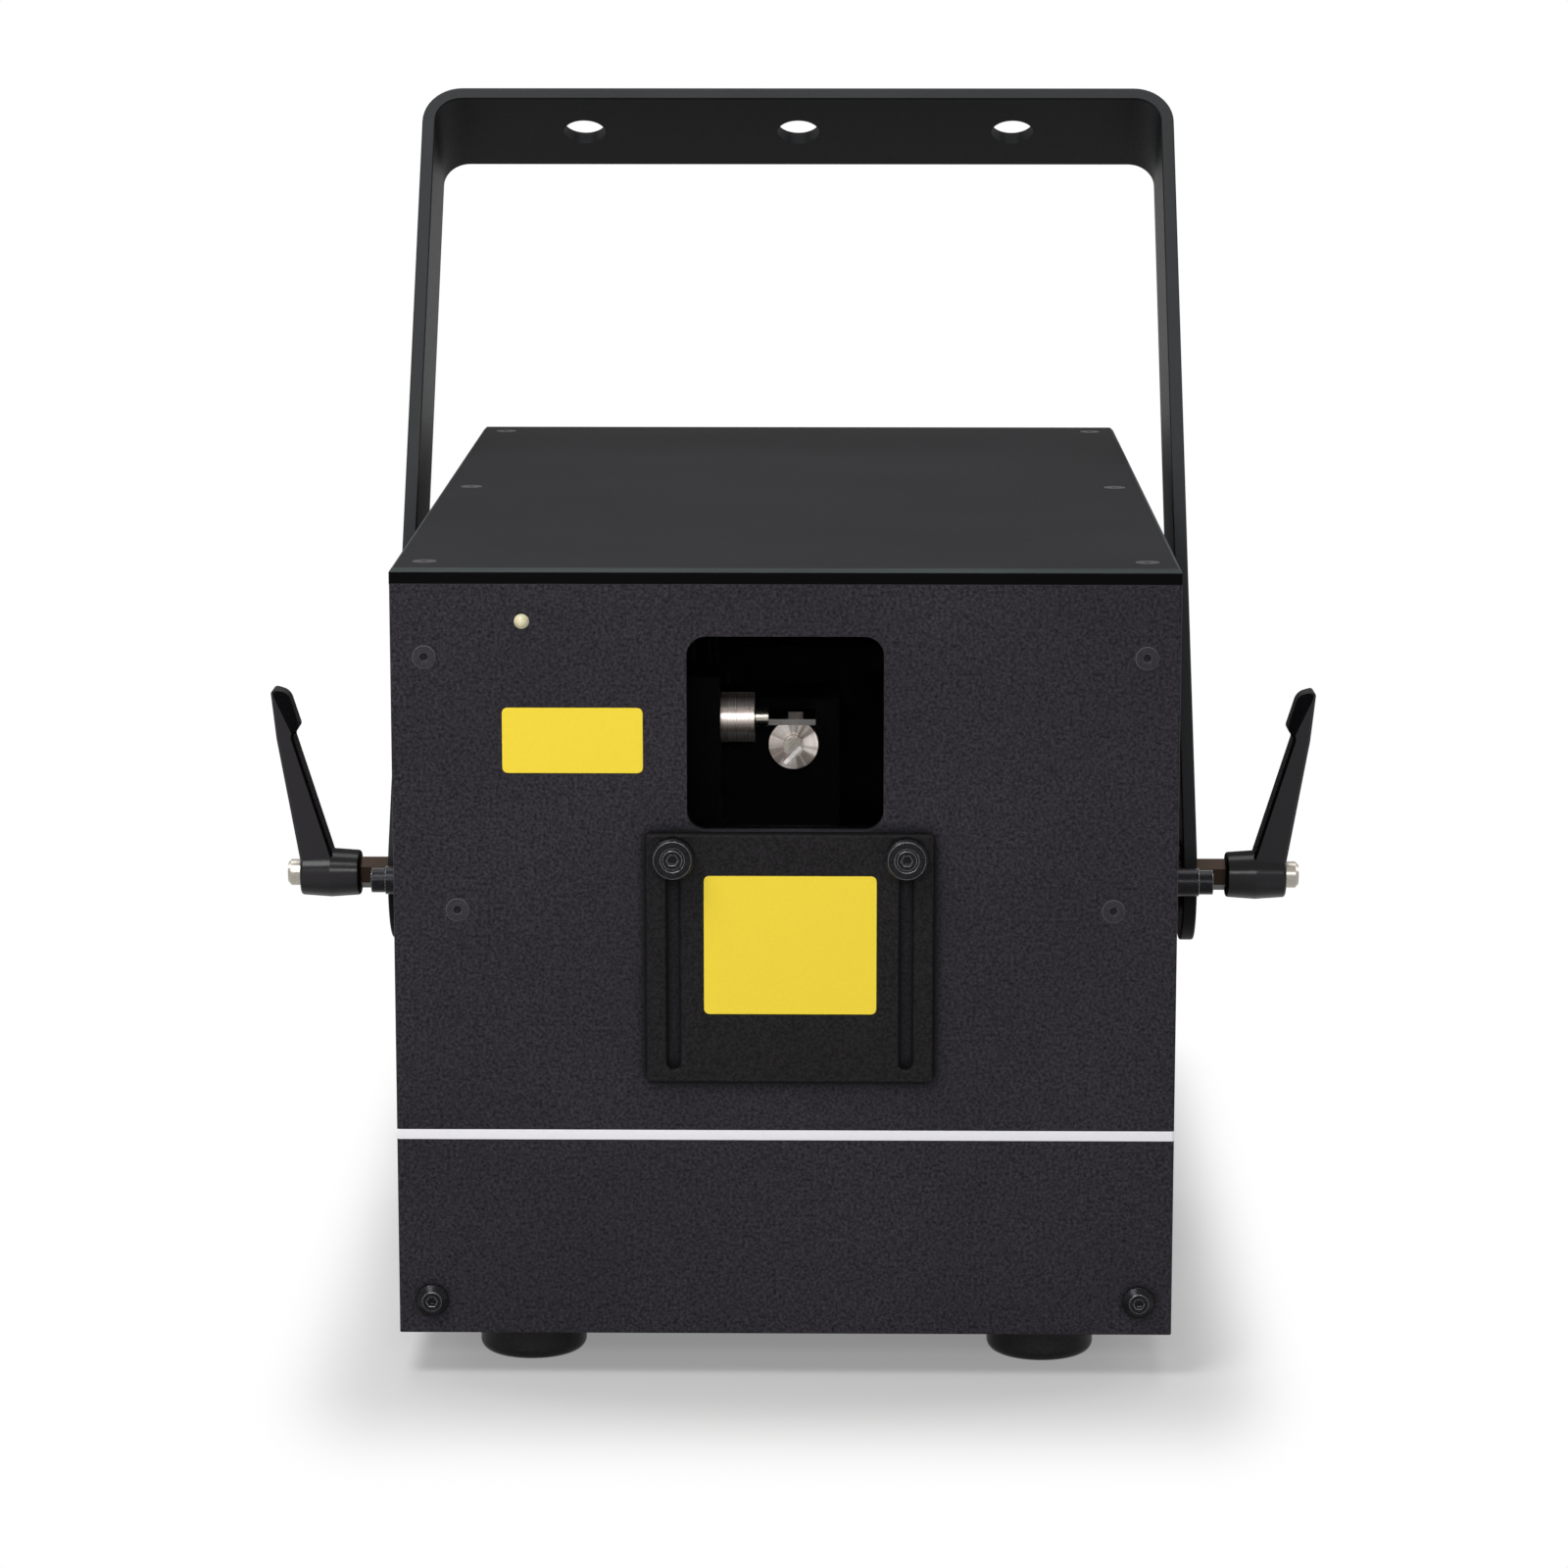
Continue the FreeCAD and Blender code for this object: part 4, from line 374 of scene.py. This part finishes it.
def turned_aluminium(name, axis, centre):
    """Turned aluminium can: fine rings round its axis, which draw each highlight out across them, and
    painted sectors of paler and darker reflection.
    """
    material, tree, shader = new_material(name, Metallic=1.0, Anisotropic=0.75)
    about = places(tree, centre)[1]
    ring, radius = round_axis(tree, about, axis)
    along = node(tree, "SeparateXYZ", {"Vector": about}).outputs[axis]
    path = node(tree, "Math", {0: radius, 1: along}, operation="ADD").outputs["Value"]
    mark = node(tree, "TexNoise", {"W": path, "Scale": 1 / MARK_SPACING, "Detail": 2.0},
                noise_dimensions="1D").outputs["Fac"]
    bearing = node(tree, "VectorMath", {0: ring}, operation="NORMALIZE").outputs["Vector"]
    # Painted reflection: sectors round the axis tinted paler and darker
    sector = node(tree, "TexNoise", {"Vector": bearing, "Scale": PAINTED_REFLECTION_WAVES, "Detail": 2.0})
    painted_reflection_share = node(tree, "MapRange", {"Value": sector.outputs["Fac"], "From Min": PAINTED_REFLECTION_LEVELS[0],
                                      "From Max": PAINTED_REFLECTION_LEVELS[1]}).outputs["Result"]
    pale = node(tree, "Mix", {"Factor": painted_reflection_share, "A": solid("#574e49"), "B": solid("#f8f0ea")},
                data_type="RGBA").outputs["Result"]
    tint = node(tree, "Mix", {"Factor": mark, "A": solid("#a0958e"), "B": pale},
                data_type="RGBA").outputs["Result"]
    gloss = node(tree, "MapRange", {"Value": mark, "To Min": 0.2, "To Max": 0.4}).outputs["Result"]
    bump = node(tree, "Bump", {"Height": mark, "Distance": MARK_HEIGHT}).outputs["Normal"]
    way = [1.0 if i == axis else 0.0 for i in range(3)]
    hoop = node(tree, "VectorMath", {0: way, 1: ring}, operation="CROSS_PRODUCT").outputs["Vector"]
    tangent = node(tree, "VectorTransform", {"Vector": hoop}, convert_from="OBJECT", convert_to="WORLD")
    feed(tree, shader, Base_Color=tint, Roughness=gloss, Normal=bump, Tangent=tangent.outputs["Vector"])
    return material


def parted(tree, shader, share, first, second):
    """Two finishes side by side on one surface: each a colour, how metallic and how rough it is."""
    for name, kind, a, b in zip(("Base_Color", "Metallic", "Roughness"), ("RGBA", "FLOAT", "FLOAT"),
                                first, second):
        mixed = node(tree, "Mix", {"Factor": share, "A": a, "B": b}, data_type=kind)
        feed(tree, shader, **{name: mixed.outputs["Result"]})


# Ground side of a scan mirror: the width over which it sets in, and its grit
GROUND_EDGE = 0.3 * MM
GROUND_GRIT = 0.6 * MM


def ground_mirror(name, centre, across, start):
    """Front-surface mirror: clear on one side, and ground pale beyond a line that runs along it."""
    material, tree, shader = new_material(name)
    place, about = places(tree, centre)
    side = node(tree, "VectorMath", {0: about, 1: across}, operation="DOT_PRODUCT").outputs["Value"]
    past = node(tree, "MapRange", {"Value": side, "From Min": start,
                                   "From Max": start + GROUND_EDGE}).outputs["Result"]
    grit = node(tree, "TexNoise", {"Vector": place, "Scale": 1 / GROUND_GRIT, "Detail": 2.0}).outputs["Fac"]
    ground = node(tree, "Mix", {"Factor": grit, "A": solid("#cfc9c6"), "B": solid("#fffdfb")},
                  data_type="RGBA").outputs["Result"]
    parted(tree, shader, past, (solid("#d6d2d0"), 1.0, 0.08), (ground, 0.3, 0.3))
    return material


# Size of the clouds in the lustre of a plated socket
LUSTRE_SIZE = 1.2 * MM


def plated_socket(name, centre, insert, floor):
    """Nickel-plated shell round a moulded insert, which lies within a radius of its axis, below a level."""
    material, tree, shader = new_material(name)
    place, about = places(tree, centre)
    radius = round_axis(tree, about, 1)[1]
    level = node(tree, "SeparateXYZ", {"Vector": place}).outputs["Y"]
    inside = node(tree, "Math", {0: radius, 1: insert}, operation="LESS_THAN").outputs["Value"]
    deep = node(tree, "Math", {0: level, 1: floor}, operation="LESS_THAN").outputs["Value"]
    share = node(tree, "Math", {0: inside, 1: deep}, operation="MULTIPLY").outputs["Value"]
    lustre = node(tree, "TexNoise", {"Vector": place, "Scale": 1 / LUSTRE_SIZE, "Detail": 2.0})
    cloud = lustre.outputs["Fac"]
    plate, moulded = (node(tree, "Mix", {"Factor": cloud, "A": solid(dark), "B": solid(pale)},
                           data_type="RGBA").outputs["Result"]
                      for dark, pale in (("#8d8a85", "#a9a6a0"), ("#0d0d0e", "#19191b")))
    parted(tree, shader, share, (plate, 1.0, 0.32), (moulded, 0.0, 0.5))
    return material


# Two meshes of the board's tracks are this long and four of them this high; then how proud a track stands
TRACK_SPAN = 10 * MM
TRACK_HEIGHT = 0.03 * MM


def solder_masked_board(name):
    """Green solder mask over copper: darker laminate with paler tracks in a grid of 5 by 2.5 mm."""
    material, tree, shader = new_material(name, Roughness=0.38)
    place = node(tree, "TexCoord").outputs["Object"]
    tracks = node(tree, "TexBrick", {"Vector": place, "Scale": 1 / TRACK_SPAN, "Color1": solid("#16351f"),
                                     "Color2": solid("#1d4028"), "Mortar": solid("#3a6a45"),
                                     "Mortar Size": 0.03}).outputs
    bump = node(tree, "Bump", {"Height": tracks["Fac"], "Distance": TRACK_HEIGHT}).outputs["Normal"]
    feed(tree, shader, Base_Color=tracks["Color"], Normal=bump)
    return material


# Size of the dust on the window, the levels of its noise, and how much of it covers the glass at most
DUST_SIZE = 6 * MM
DUST_LEVELS = (0.4, 0.8)
DUST_COVER = 0.02


def coated_glass(name):
    """Anti-reflection coated window: nearly invisible, with a trace of dust."""
    material, tree, shader = new_material(name, Base_Color=solid("#101414"), Roughness=0.04)
    place = node(tree, "TexCoord").outputs["Object"]
    dust = node(tree, "TexNoise", {"Vector": place, "Scale": 1 / DUST_SIZE, "Detail": 4.0}).outputs["Fac"]
    veil = node(tree, "MapRange", {"Value": dust, "From Min": DUST_LEVELS[0], "From Max": DUST_LEVELS[1],
                                   "To Min": 0.0, "To Max": DUST_COVER}).outputs["Result"]
    feed(tree, shader, Alpha=veil)
    return material


# Clouds in the emission lamp's lens: their size, and the share of the colour that the deepest have
MILK_SIZE = 1.5 * MM
MILK_DEEP = 0.72


def diffused_lens(name, tint):
    """Milky epoxy lens: soft, with faint clouds of a deeper colour."""
    material, tree, shader = new_material(name, Roughness=0.22, IOR=1.5, Subsurface_Weight=0.3,
                                          Subsurface_Scale=1.0 * MM)
    place = node(tree, "TexCoord").outputs["Object"]
    milk = node(tree, "TexNoise", {"Vector": place, "Scale": 1 / MILK_SIZE, "Detail": 2.0}).outputs["Fac"]
    deep = [MILK_DEEP * value for value in tint]
    shade = node(tree, "Mix", {"Factor": milk, "A": (*deep, 1.0), "B": (*tint, 1.0)},
                 data_type="RGBA").outputs["Result"]
    feed(tree, shader, Base_Color=shade)
    return material


# A film on the coat: the least share of its colour, how far its roughness strays, and the relief it takes
FILM_DIM = 0.93
FILM_STRAY = 0.06
FILM_RELIEF = 0.012 * MM


def film(name, tint, rough, grain):
    """Vinyl or ink laid on the coat: even colour that takes a little of the grain under it."""
    material, tree, shader = new_material(name, Specular_IOR_Level=0.4)
    place = node(tree, "TexCoord").outputs["Object"]
    fine = node(tree, "TexNoise", {"Vector": place, "Scale": 1 / (grain * MM), "Detail": 3.0}).outputs["Fac"]
    dim = [FILM_DIM * value for value in tint]
    shade = node(tree, "Mix", {"Factor": fine, "A": (*dim, 1.0), "B": (*tint, 1.0)},
                 data_type="RGBA").outputs["Result"]
    gloss = node(tree, "MapRange", {"Value": fine, "To Min": rough - FILM_STRAY,
                                    "To Max": rough + FILM_STRAY}).outputs["Result"]
    bump = node(tree, "Bump", {"Height": fine, "Distance": FILM_RELIEF}).outputs["Normal"]
    feed(tree, shader, Base_Color=shade, Roughness=gloss, Normal=bump)
    return material


# A rounded corner takes at most this share of each of its sides, so that two corners never meet
CORNER_SHARE = 0.48


def rounded_loop(points, reach, steps=7):
    """Closed outline whose corners are parabolas, each leaving both sides of its corner at a set reach."""
    corner = np.array(points, float)
    back = np.roll(corner, 1, 0) - corner
    ahead = np.roll(corner, -1, 0) - corner
    start, end = (corner + side * np.minimum(CORNER_SHARE, reach / np.linalg.norm(side, axis=1)[:, None])
                  for side in (back, ahead))
    t = np.linspace(0, 1, steps)[:, None, None]
    curve = (1 - t) ** 2 * start + 2 * t * (1 - t) * corner + t ** 2 * end
    return curve.transpose(1, 0, 2).reshape(-1, 2)


def skin(grid):
    """Vertices and quads of a grid of points that is closed across its columns."""
    rows, cols = grid.shape[:2]
    nearer = np.arange(rows - 1)[:, None] * cols
    further = nearer + cols
    j = np.arange(cols)[None, :]
    beside = (j + 1) % cols
    faces = np.stack([nearer + j, nearer + beside, further + beside, further + j], -1)
    return grid.reshape(-1, 3), faces.reshape(-1, 4)


# Points closer than this are one point, and edges that turn by more than this angle look sharp
SAME_POINT = 1e-7
SHARP_TURN = math.radians(35)


def piece(name, skins, material, body):
    """One object from several skins: poles merged, faces turned outwards, riding on its body."""
    points, faces, start = [], [], 0
    for vertices, quads in skins:
        points.append(vertices)
        faces.append(quads + start)
        start += len(vertices)
    mesh = bpy.data.meshes.new(name)
    mesh.from_pydata(np.concatenate(points), [], np.concatenate(faces).tolist())
    shape = bmesh.new()
    shape.from_mesh(mesh)
    bmesh.ops.remove_doubles(shape, verts=shape.verts, dist=SAME_POINT)
    bmesh.ops.recalc_face_normals(shape, faces=shape.faces)
    shape.to_mesh(mesh)
    shape.free()
    mesh.shade_smooth()
    mesh.set_sharp_from_angle(angle=SHARP_TURN)
    mesh.materials.append(material)
    made = bpy.data.objects.new(name, mesh)
    bpy.context.scene.collection.objects.link(made)
    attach(made, body)


# Middle of each label: how far to the right of the projector's own and how high over the floor
SIDE_LABEL_PLACE = (-53.95 * MM, 168.0 * MM)
SHUTTER_LABEL_PLACE = (1.3 * MM, 115.5 * MM)


def label_skin(centre, size, corner, face, thickness):
    """Thin plate on a face that looks to -Y: a rounded outline at the back and at the front, drawn in to
    both centres. The back is sunk into the coat, and the front's rim is eased."""
    half = np.array(size) / 2
    ring = rounded_loop([half * s for s in ((-1, -1), (1, -1), (1, 1), (-1, 1))], corner)
    lip = thickness / half.min()
    shares = (0, 1, 1, 1 - 0.25 * lip, 1 - 2 * lip, 0)
    depths = (-0.4, -0.4, 0.75, 1, 1, 1)
    grid = np.empty((len(shares), len(ring), 3))
    grid[..., 0] = centre[0] + np.outer(shares, ring[:, 0])
    grid[..., 1] = face - thickness * np.array(depths)[:, None]
    grid[..., 2] = centre[1] + np.outer(shares, ring[:, 1])
    return skin(grid)


# Section of the stripe, in shares of its height and of its thickness: sunk into the coat, with eased rims.
# Then the number of points that carry it round each corner
STRIPE_SECTION = np.array([(-0.5, -0.3), (-0.5, 0.8), (-0.47, 1), (0.47, 1), (0.5, 0.8), (0.5, -0.3)])
STRIPE_STEPS = 9


def stripe_skin(level, height, thickness, wrap):
    """Flat band carried across the front face and round the quarter circles of both its corners."""
    turn = np.linspace(0, math.pi / 2, STRIPE_STEPS)
    side = np.stack([BODY_SIDE - wrap + wrap * np.cos(turn), FRONT_FACE + wrap - wrap * np.sin(turn)], -1)
    way = np.stack([np.cos(turn), -np.sin(turn)], -1)
    path = np.concatenate([side, side[::-1] * (-1, 1)])
    out = np.concatenate([way, way[::-1] * (-1, 1)])
    grid = np.empty((len(path) + 2, len(STRIPE_SECTION), 3))
    grid[1:-1, :, :2] = path[:, None] + out[:, None] * (thickness * STRIPE_SECTION[:, 1])[None, :, None]
    grid[1:-1, :, 2] = level + height * STRIPE_SECTION[:, 0]
    grid[0] = grid[1].mean(0)
    grid[-1] = grid[-2].mean(0)
    return skin(grid)


# A contact: how far its foot lies behind the socket's front, its profile as places along it and shares of
# its radius, and its number of sides
PIN_SEAT = 5.8 * MM
PIN_REACH = np.array((0, 0, 3.6, 4.0, 4.3, 4.4)) * MM
PIN_WIDTH = np.array((0, 1, 1, 0.86, 0.5, 0))
PIN_SIDES = 12


def pin_skins(count, pitch, radius):
    """Round-nosed contacts in two staggered rows, the second one shorter by a contact: a straight side and a
    half ellipse turned about the pin's axis."""
    centre = middle("signal_socket")
    rows = np.concatenate([np.stack([(np.arange(n) - (n - 1) / 2) * pitch, np.full(n, z * pitch / 2)], -1)
                           for n, z in ((count, 0.5), (count - 1, -0.5))])
    width = PIN_WIDTH * radius
    turn = np.linspace(0, 2 * math.pi, PIN_SIDES, endpoint=False)
    grid = np.empty((len(rows), len(width), len(turn), 3))
    grid[..., 0] = centre.x + rows[:, :1, None] + width[:, None] * np.cos(turn)
    grid[..., 1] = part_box("signal_socket")[1].y - PIN_SEAT + PIN_REACH[:, None]
    grid[..., 2] = centre.z + rows[:, 1:, None] + width[:, None] * np.sin(turn)
    return [skin(pin) for pin in grid]


def wear(names, material):
    """Gives solids their material."""
    for name in names:
        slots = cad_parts[name].data.materials
        slots.clear()
        slots.append(material)


class PROJECTOR_OT_finishes(bpy.types.Operator):
    """Gives every solid of the projector its finish"""
    bl_idname = "projector.finishes"
    bl_label = "Finishes"

    def execute(self, context):
        for name, values in FINISHES.items():
            made = grained(name, **values)
            wear(WEARS.get(name, ()), made)
        for name, axis in CANS.items():
            wear([name], turned_aluminium("turned_aluminium_" + name[-1], axis, middle(name)))
        for name, (across, start) in MIRROR_SIDES.items():
            wear([name], ground_mirror("ground_mirror_" + name[-1], middle(name), across, start))
        for name, (insert, depth) in INSERTS.items():
            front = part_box(name)[1].y
            wear([name], plated_socket("nickel_plate_" + name, middle(name), insert, front - depth))
        wear(["laser_driver", "galvo_driver", "control_board"], solder_masked_board("solder_masked_board"))
        wear(["window_glass"], coated_glass("coated_glass"))
        wear(["emission_led"], diffused_lens("diffused_lens", context.scene.projector_colours.lamp))
        return {"FINISHED"}


class PROJECTOR_OT_labels(bpy.types.Operator):
    """Lays the blank vinyl labels on the front plate and on the shutter"""
    bl_idname = "projector.labels"
    bl_label = "Blank labels"

    def execute(self, context):
        sizes = context.scene.projector_sizes
        vinyl = film("yellow_vinyl", context.scene.projector_colours.label, rough=0.4, grain=0.9)
        beside = (SIDE_LABEL_PLACE, (sizes.side_label_width, sizes.side_label_height))
        on_shutter = (SHUTTER_LABEL_PLACE, (sizes.shutter_label_width, sizes.shutter_label_height))
        for name, body, face, place in (("side_label", "housing", FRONT_FACE, beside),
                                        ("shutter_label", "shutter", SHUTTER_FACE, on_shutter)):
            shape = label_skin(*place, sizes.label_corner, face, sizes.film)
            piece(name, [shape], vinyl, body)
        return {"FINISHED"}


class PROJECTOR_OT_stripe(bpy.types.Operator):
    """Prints the white stripe across the front plate"""
    bl_idname = "projector.stripe"
    bl_label = "Printed stripe"

    def execute(self, context):
        sizes = context.scene.projector_sizes
        ink = film("screen_printed_ink", context.scene.projector_colours.ink, rough=0.55, grain=0.9)
        shape = stripe_skin(sizes.stripe_level, sizes.stripe_height, sizes.film / 2, sizes.stripe_wrap)
        piece("printed_stripe", [shape], ink, "housing")
        return {"FINISHED"}


class PROJECTOR_OT_contacts(bpy.types.Operator):
    """Sets the contacts into the signal socket"""
    bl_idname = "projector.contacts"
    bl_label = "Signal contacts"

    def execute(self, context):
        sizes = context.scene.projector_sizes
        pins = pin_skins(sizes.pin_count, sizes.pin_pitch, sizes.pin_radius)
        piece("signal_contacts", pins, bpy.data.materials["gold_flash"], "housing")
        return {"FINISHED"}


# The camera stands where the photograph's did, found from the corners of the box: zero shift, no roll.
# Angles are in degrees, and the lens and the sensor's width in mm
CAMERA_PLACE = (15.43 * MM, -1370.54 * MM, 380.54 * MM)
CAMERA_PITCH = 10.54
CAMERA_YAW = 0.75
CAMERA_LENS = 110.6
CAMERA_SENSOR = 36.0

# Soft boxes: place and aim in metres, width and height in metres, power in watts
LAMPS = {
    "top_box": ((0.0, 0.4, 1.6), (0.0, 0.0, 0.1), (1.4, 0.9), 12.0),
    "key_box": ((-0.3, -0.5, 0.75), (0.0, -0.1, 0.15), (0.4, 0.3), 3.6),
    "front_box": ((0.0, -2.3, 1.0), (0.0, -0.1, 0.12), (1.2, 0.4), 15.0),
    "left_box": ((-1.4, 0.5, 0.9), (0.0, 0.0, 0.12), (0.6, 1.0), 6.0),
    "right_box": ((1.4, 0.5, 0.9), (0.0, 0.0, 0.12), (0.6, 1.0), 6.0),
}

# Strength of the even light from all round
WORLD_LIGHT = 0.22

# The floor: half its side in metres, how white it looks right at the housing, how far from there its shadow
# reaches to the front and back, and how many times shorter it is to the sides
FLOOR_HALF = 30.0
SHADOW_WHITE = 0.26
SHADOW_REACH = 100 * MM
SHADOW_SQUEEZE = 2.4

WHITE = (1.0, 1.0, 1.0, 1.0)


def white_rays(tree):
    """Share of the rays that see plain white: those of the camera, of reflections and through glass."""
    path = node(tree, "LightPath").outputs
    seen = path["Is Camera Ray"]
    for kind in ("Is Glossy Ray", "Is Transmission Ray"):
        seen = node(tree, "Math", {0: seen, 1: path[kind]}, operation="MAXIMUM").outputs["Value"]
    return seen


def studio_world(scene):
    """Even light from all round, seen as plain white by the camera, by reflections and through glass."""
    world = bpy.data.worlds.new("studio_world")
    world.use_nodes = True
    tree = world.node_tree
    tree.nodes.clear()
    light = node(tree, "Background", {"Color": WHITE, "Strength": WORLD_LIGHT})
    white = node(tree, "Background", {"Color": WHITE, "Strength": 1.0})
    both = node(tree, "MixShader", {0: white_rays(tree), 1: light.outputs["Background"],
                                    2: white.outputs["Background"]})
    node(tree, "OutputWorld", {"Surface": both.outputs["Shader"]})
    scene.world = world


def floor_paint(tint):
    """Matt paint that keeps the shadow round the housing, and fades to white with the distance from it."""
    material, tree, shader = new_material("floor_paint", Roughness=0.9, Specular_IOR_Level=0.1,
                                          Base_Color=(*tint, 1.0))
    halfway = (FRONT_FACE + REAR_FACE) / 2
    place = node(tree, "TexCoord").outputs["Object"]
    from_middle = node(tree, "VectorMath", {0: place, 1: (0, halfway, 0)}, operation="SUBTRACT")
    mirrored = node(tree, "VectorMath", {0: from_middle.outputs["Vector"]}, operation="ABSOLUTE")
    half_size = (BODY_SIDE, REAR_FACE - halfway, 0)
    beyond = node(tree, "VectorMath", {0: mirrored.outputs["Vector"], 1: half_size}, operation="SUBTRACT")
    outside = node(tree, "VectorMath", {0: beyond.outputs["Vector"]}, operation="MAXIMUM")
    oval = node(tree, "VectorMath", {0: outside.outputs["Vector"], 1: (SHADOW_SQUEEZE, 1, 1)},
                operation="MULTIPLY")
    far = node(tree, "VectorMath", {0: oval.outputs["Vector"]}, operation="LENGTH").outputs["Value"]
    fade = node(tree, "MapRange", {"Value": far, "From Max": SHADOW_REACH, "To Min": SHADOW_WHITE},
                interpolation_type="SMOOTHERSTEP").outputs["Result"]
    share = node(tree, "Math", {0: white_rays(tree), 1: fade}, operation="MULTIPLY").outputs["Value"]
    glow = node(tree, "Emission", {"Color": WHITE, "Strength": 1.0}).outputs["Emission"]
    both = node(tree, "MixShader", {0: share, 1: shader.outputs["BSDF"], 2: glow})
    tree.links.new(both.outputs["Shader"], tree.nodes["Material Output"].inputs["Surface"])
    return material


def studio_floor(material):
    """Wide square floor."""
    reach = np.array((-FLOOR_HALF, FLOOR_HALF))
    x, y = np.meshgrid(reach, reach)
    corners = np.stack([x, y, np.zeros_like(x)], -1).reshape(-1, 3)
    mesh = bpy.data.meshes.new("studio_floor")
    mesh.from_pydata(corners, [], [(0, 1, 3, 2)])
    mesh.materials.append(material)
    floor = bpy.data.objects.new("studio_floor", mesh)
    bpy.context.scene.collection.objects.link(floor)


def soft_box(name, place, aim, size, power):
    """Rectangular lamp that stands at a place and shines towards its aim."""
    lamp = bpy.data.lights.new(name, "AREA")
    lamp.shape = "RECTANGLE"
    lamp.size, lamp.size_y = size
    lamp.energy = power
    made = bpy.data.objects.new(name, lamp)
    made.location = place
    made.rotation_euler = (Vector(aim) - Vector(place)).to_track_quat("-Z", "Y").to_euler()
    bpy.context.scene.collection.objects.link(made)


class PROJECTOR_OT_studio(bpy.types.Operator):
    """Sets up the floor, the soft boxes and the camera"""
    bl_idname = "projector.studio"
    bl_label = "Studio"

    def execute(self, context):
        scene = context.scene
        scene.view_settings.view_transform = "Standard"
        studio_world(scene)
        studio_floor(floor_paint(scene.projector_colours.floor))
        for name, values in LAMPS.items():
            soft_box(name, *values)
        lens = bpy.data.cameras.new("camera")
        lens.lens = CAMERA_LENS
        lens.sensor_width = CAMERA_SENSOR
        camera = bpy.data.objects.new("camera", lens)
        camera.location = CAMERA_PLACE
        camera.rotation_euler = (math.radians(90 - CAMERA_PITCH), 0, math.radians(CAMERA_YAW))
        scene.collection.objects.link(camera)
        scene.camera = camera
        return {"FINISHED"}


STEPS = (PROJECTOR_OT_finishes, PROJECTOR_OT_labels, PROJECTOR_OT_stripe, PROJECTOR_OT_contacts,
         PROJECTOR_OT_studio)


class PROJECTOR_PT_panel(bpy.types.Panel):
    """Sizes, colours and steps of the projector"""
    bl_idname = "PROJECTOR_PT_panel"
    bl_label = "Laser show projector"
    bl_space_type = "VIEW_3D"
    bl_region_type = "UI"
    bl_category = "Projector"

    def draw(self, context):
        for group in (context.scene.projector_sizes, context.scene.projector_colours):
            for name in group.__annotations__:
                self.layout.prop(group, name)
        for step in STEPS:
            self.layout.operator(step.bl_idname)


CLASSES = (PROJECTOR_PG_sizes, PROJECTOR_PG_colours, *STEPS, PROJECTOR_PT_panel)


def register():
    """Makes the classes known and gives the scene its sizes and colours."""
    for kind in CLASSES:
        bpy.utils.register_class(kind)
    bpy.types.Scene.projector_sizes = PointerProperty(type=PROJECTOR_PG_sizes)
    bpy.types.Scene.projector_colours = PointerProperty(type=PROJECTOR_PG_colours)


def unregister():
    """Takes back what register did, in reverse."""
    del bpy.types.Scene.projector_colours
    del bpy.types.Scene.projector_sizes
    for kind in reversed(CLASSES):
        bpy.utils.unregister_class(kind)


def main():
    """Runs every step in order."""
    register()
    bpy.ops.projector.finishes()
    bpy.ops.projector.labels()
    bpy.ops.projector.stripe()
    bpy.ops.projector.contacts()
    bpy.ops.projector.studio()


if __name__ == "__main__":
    main()
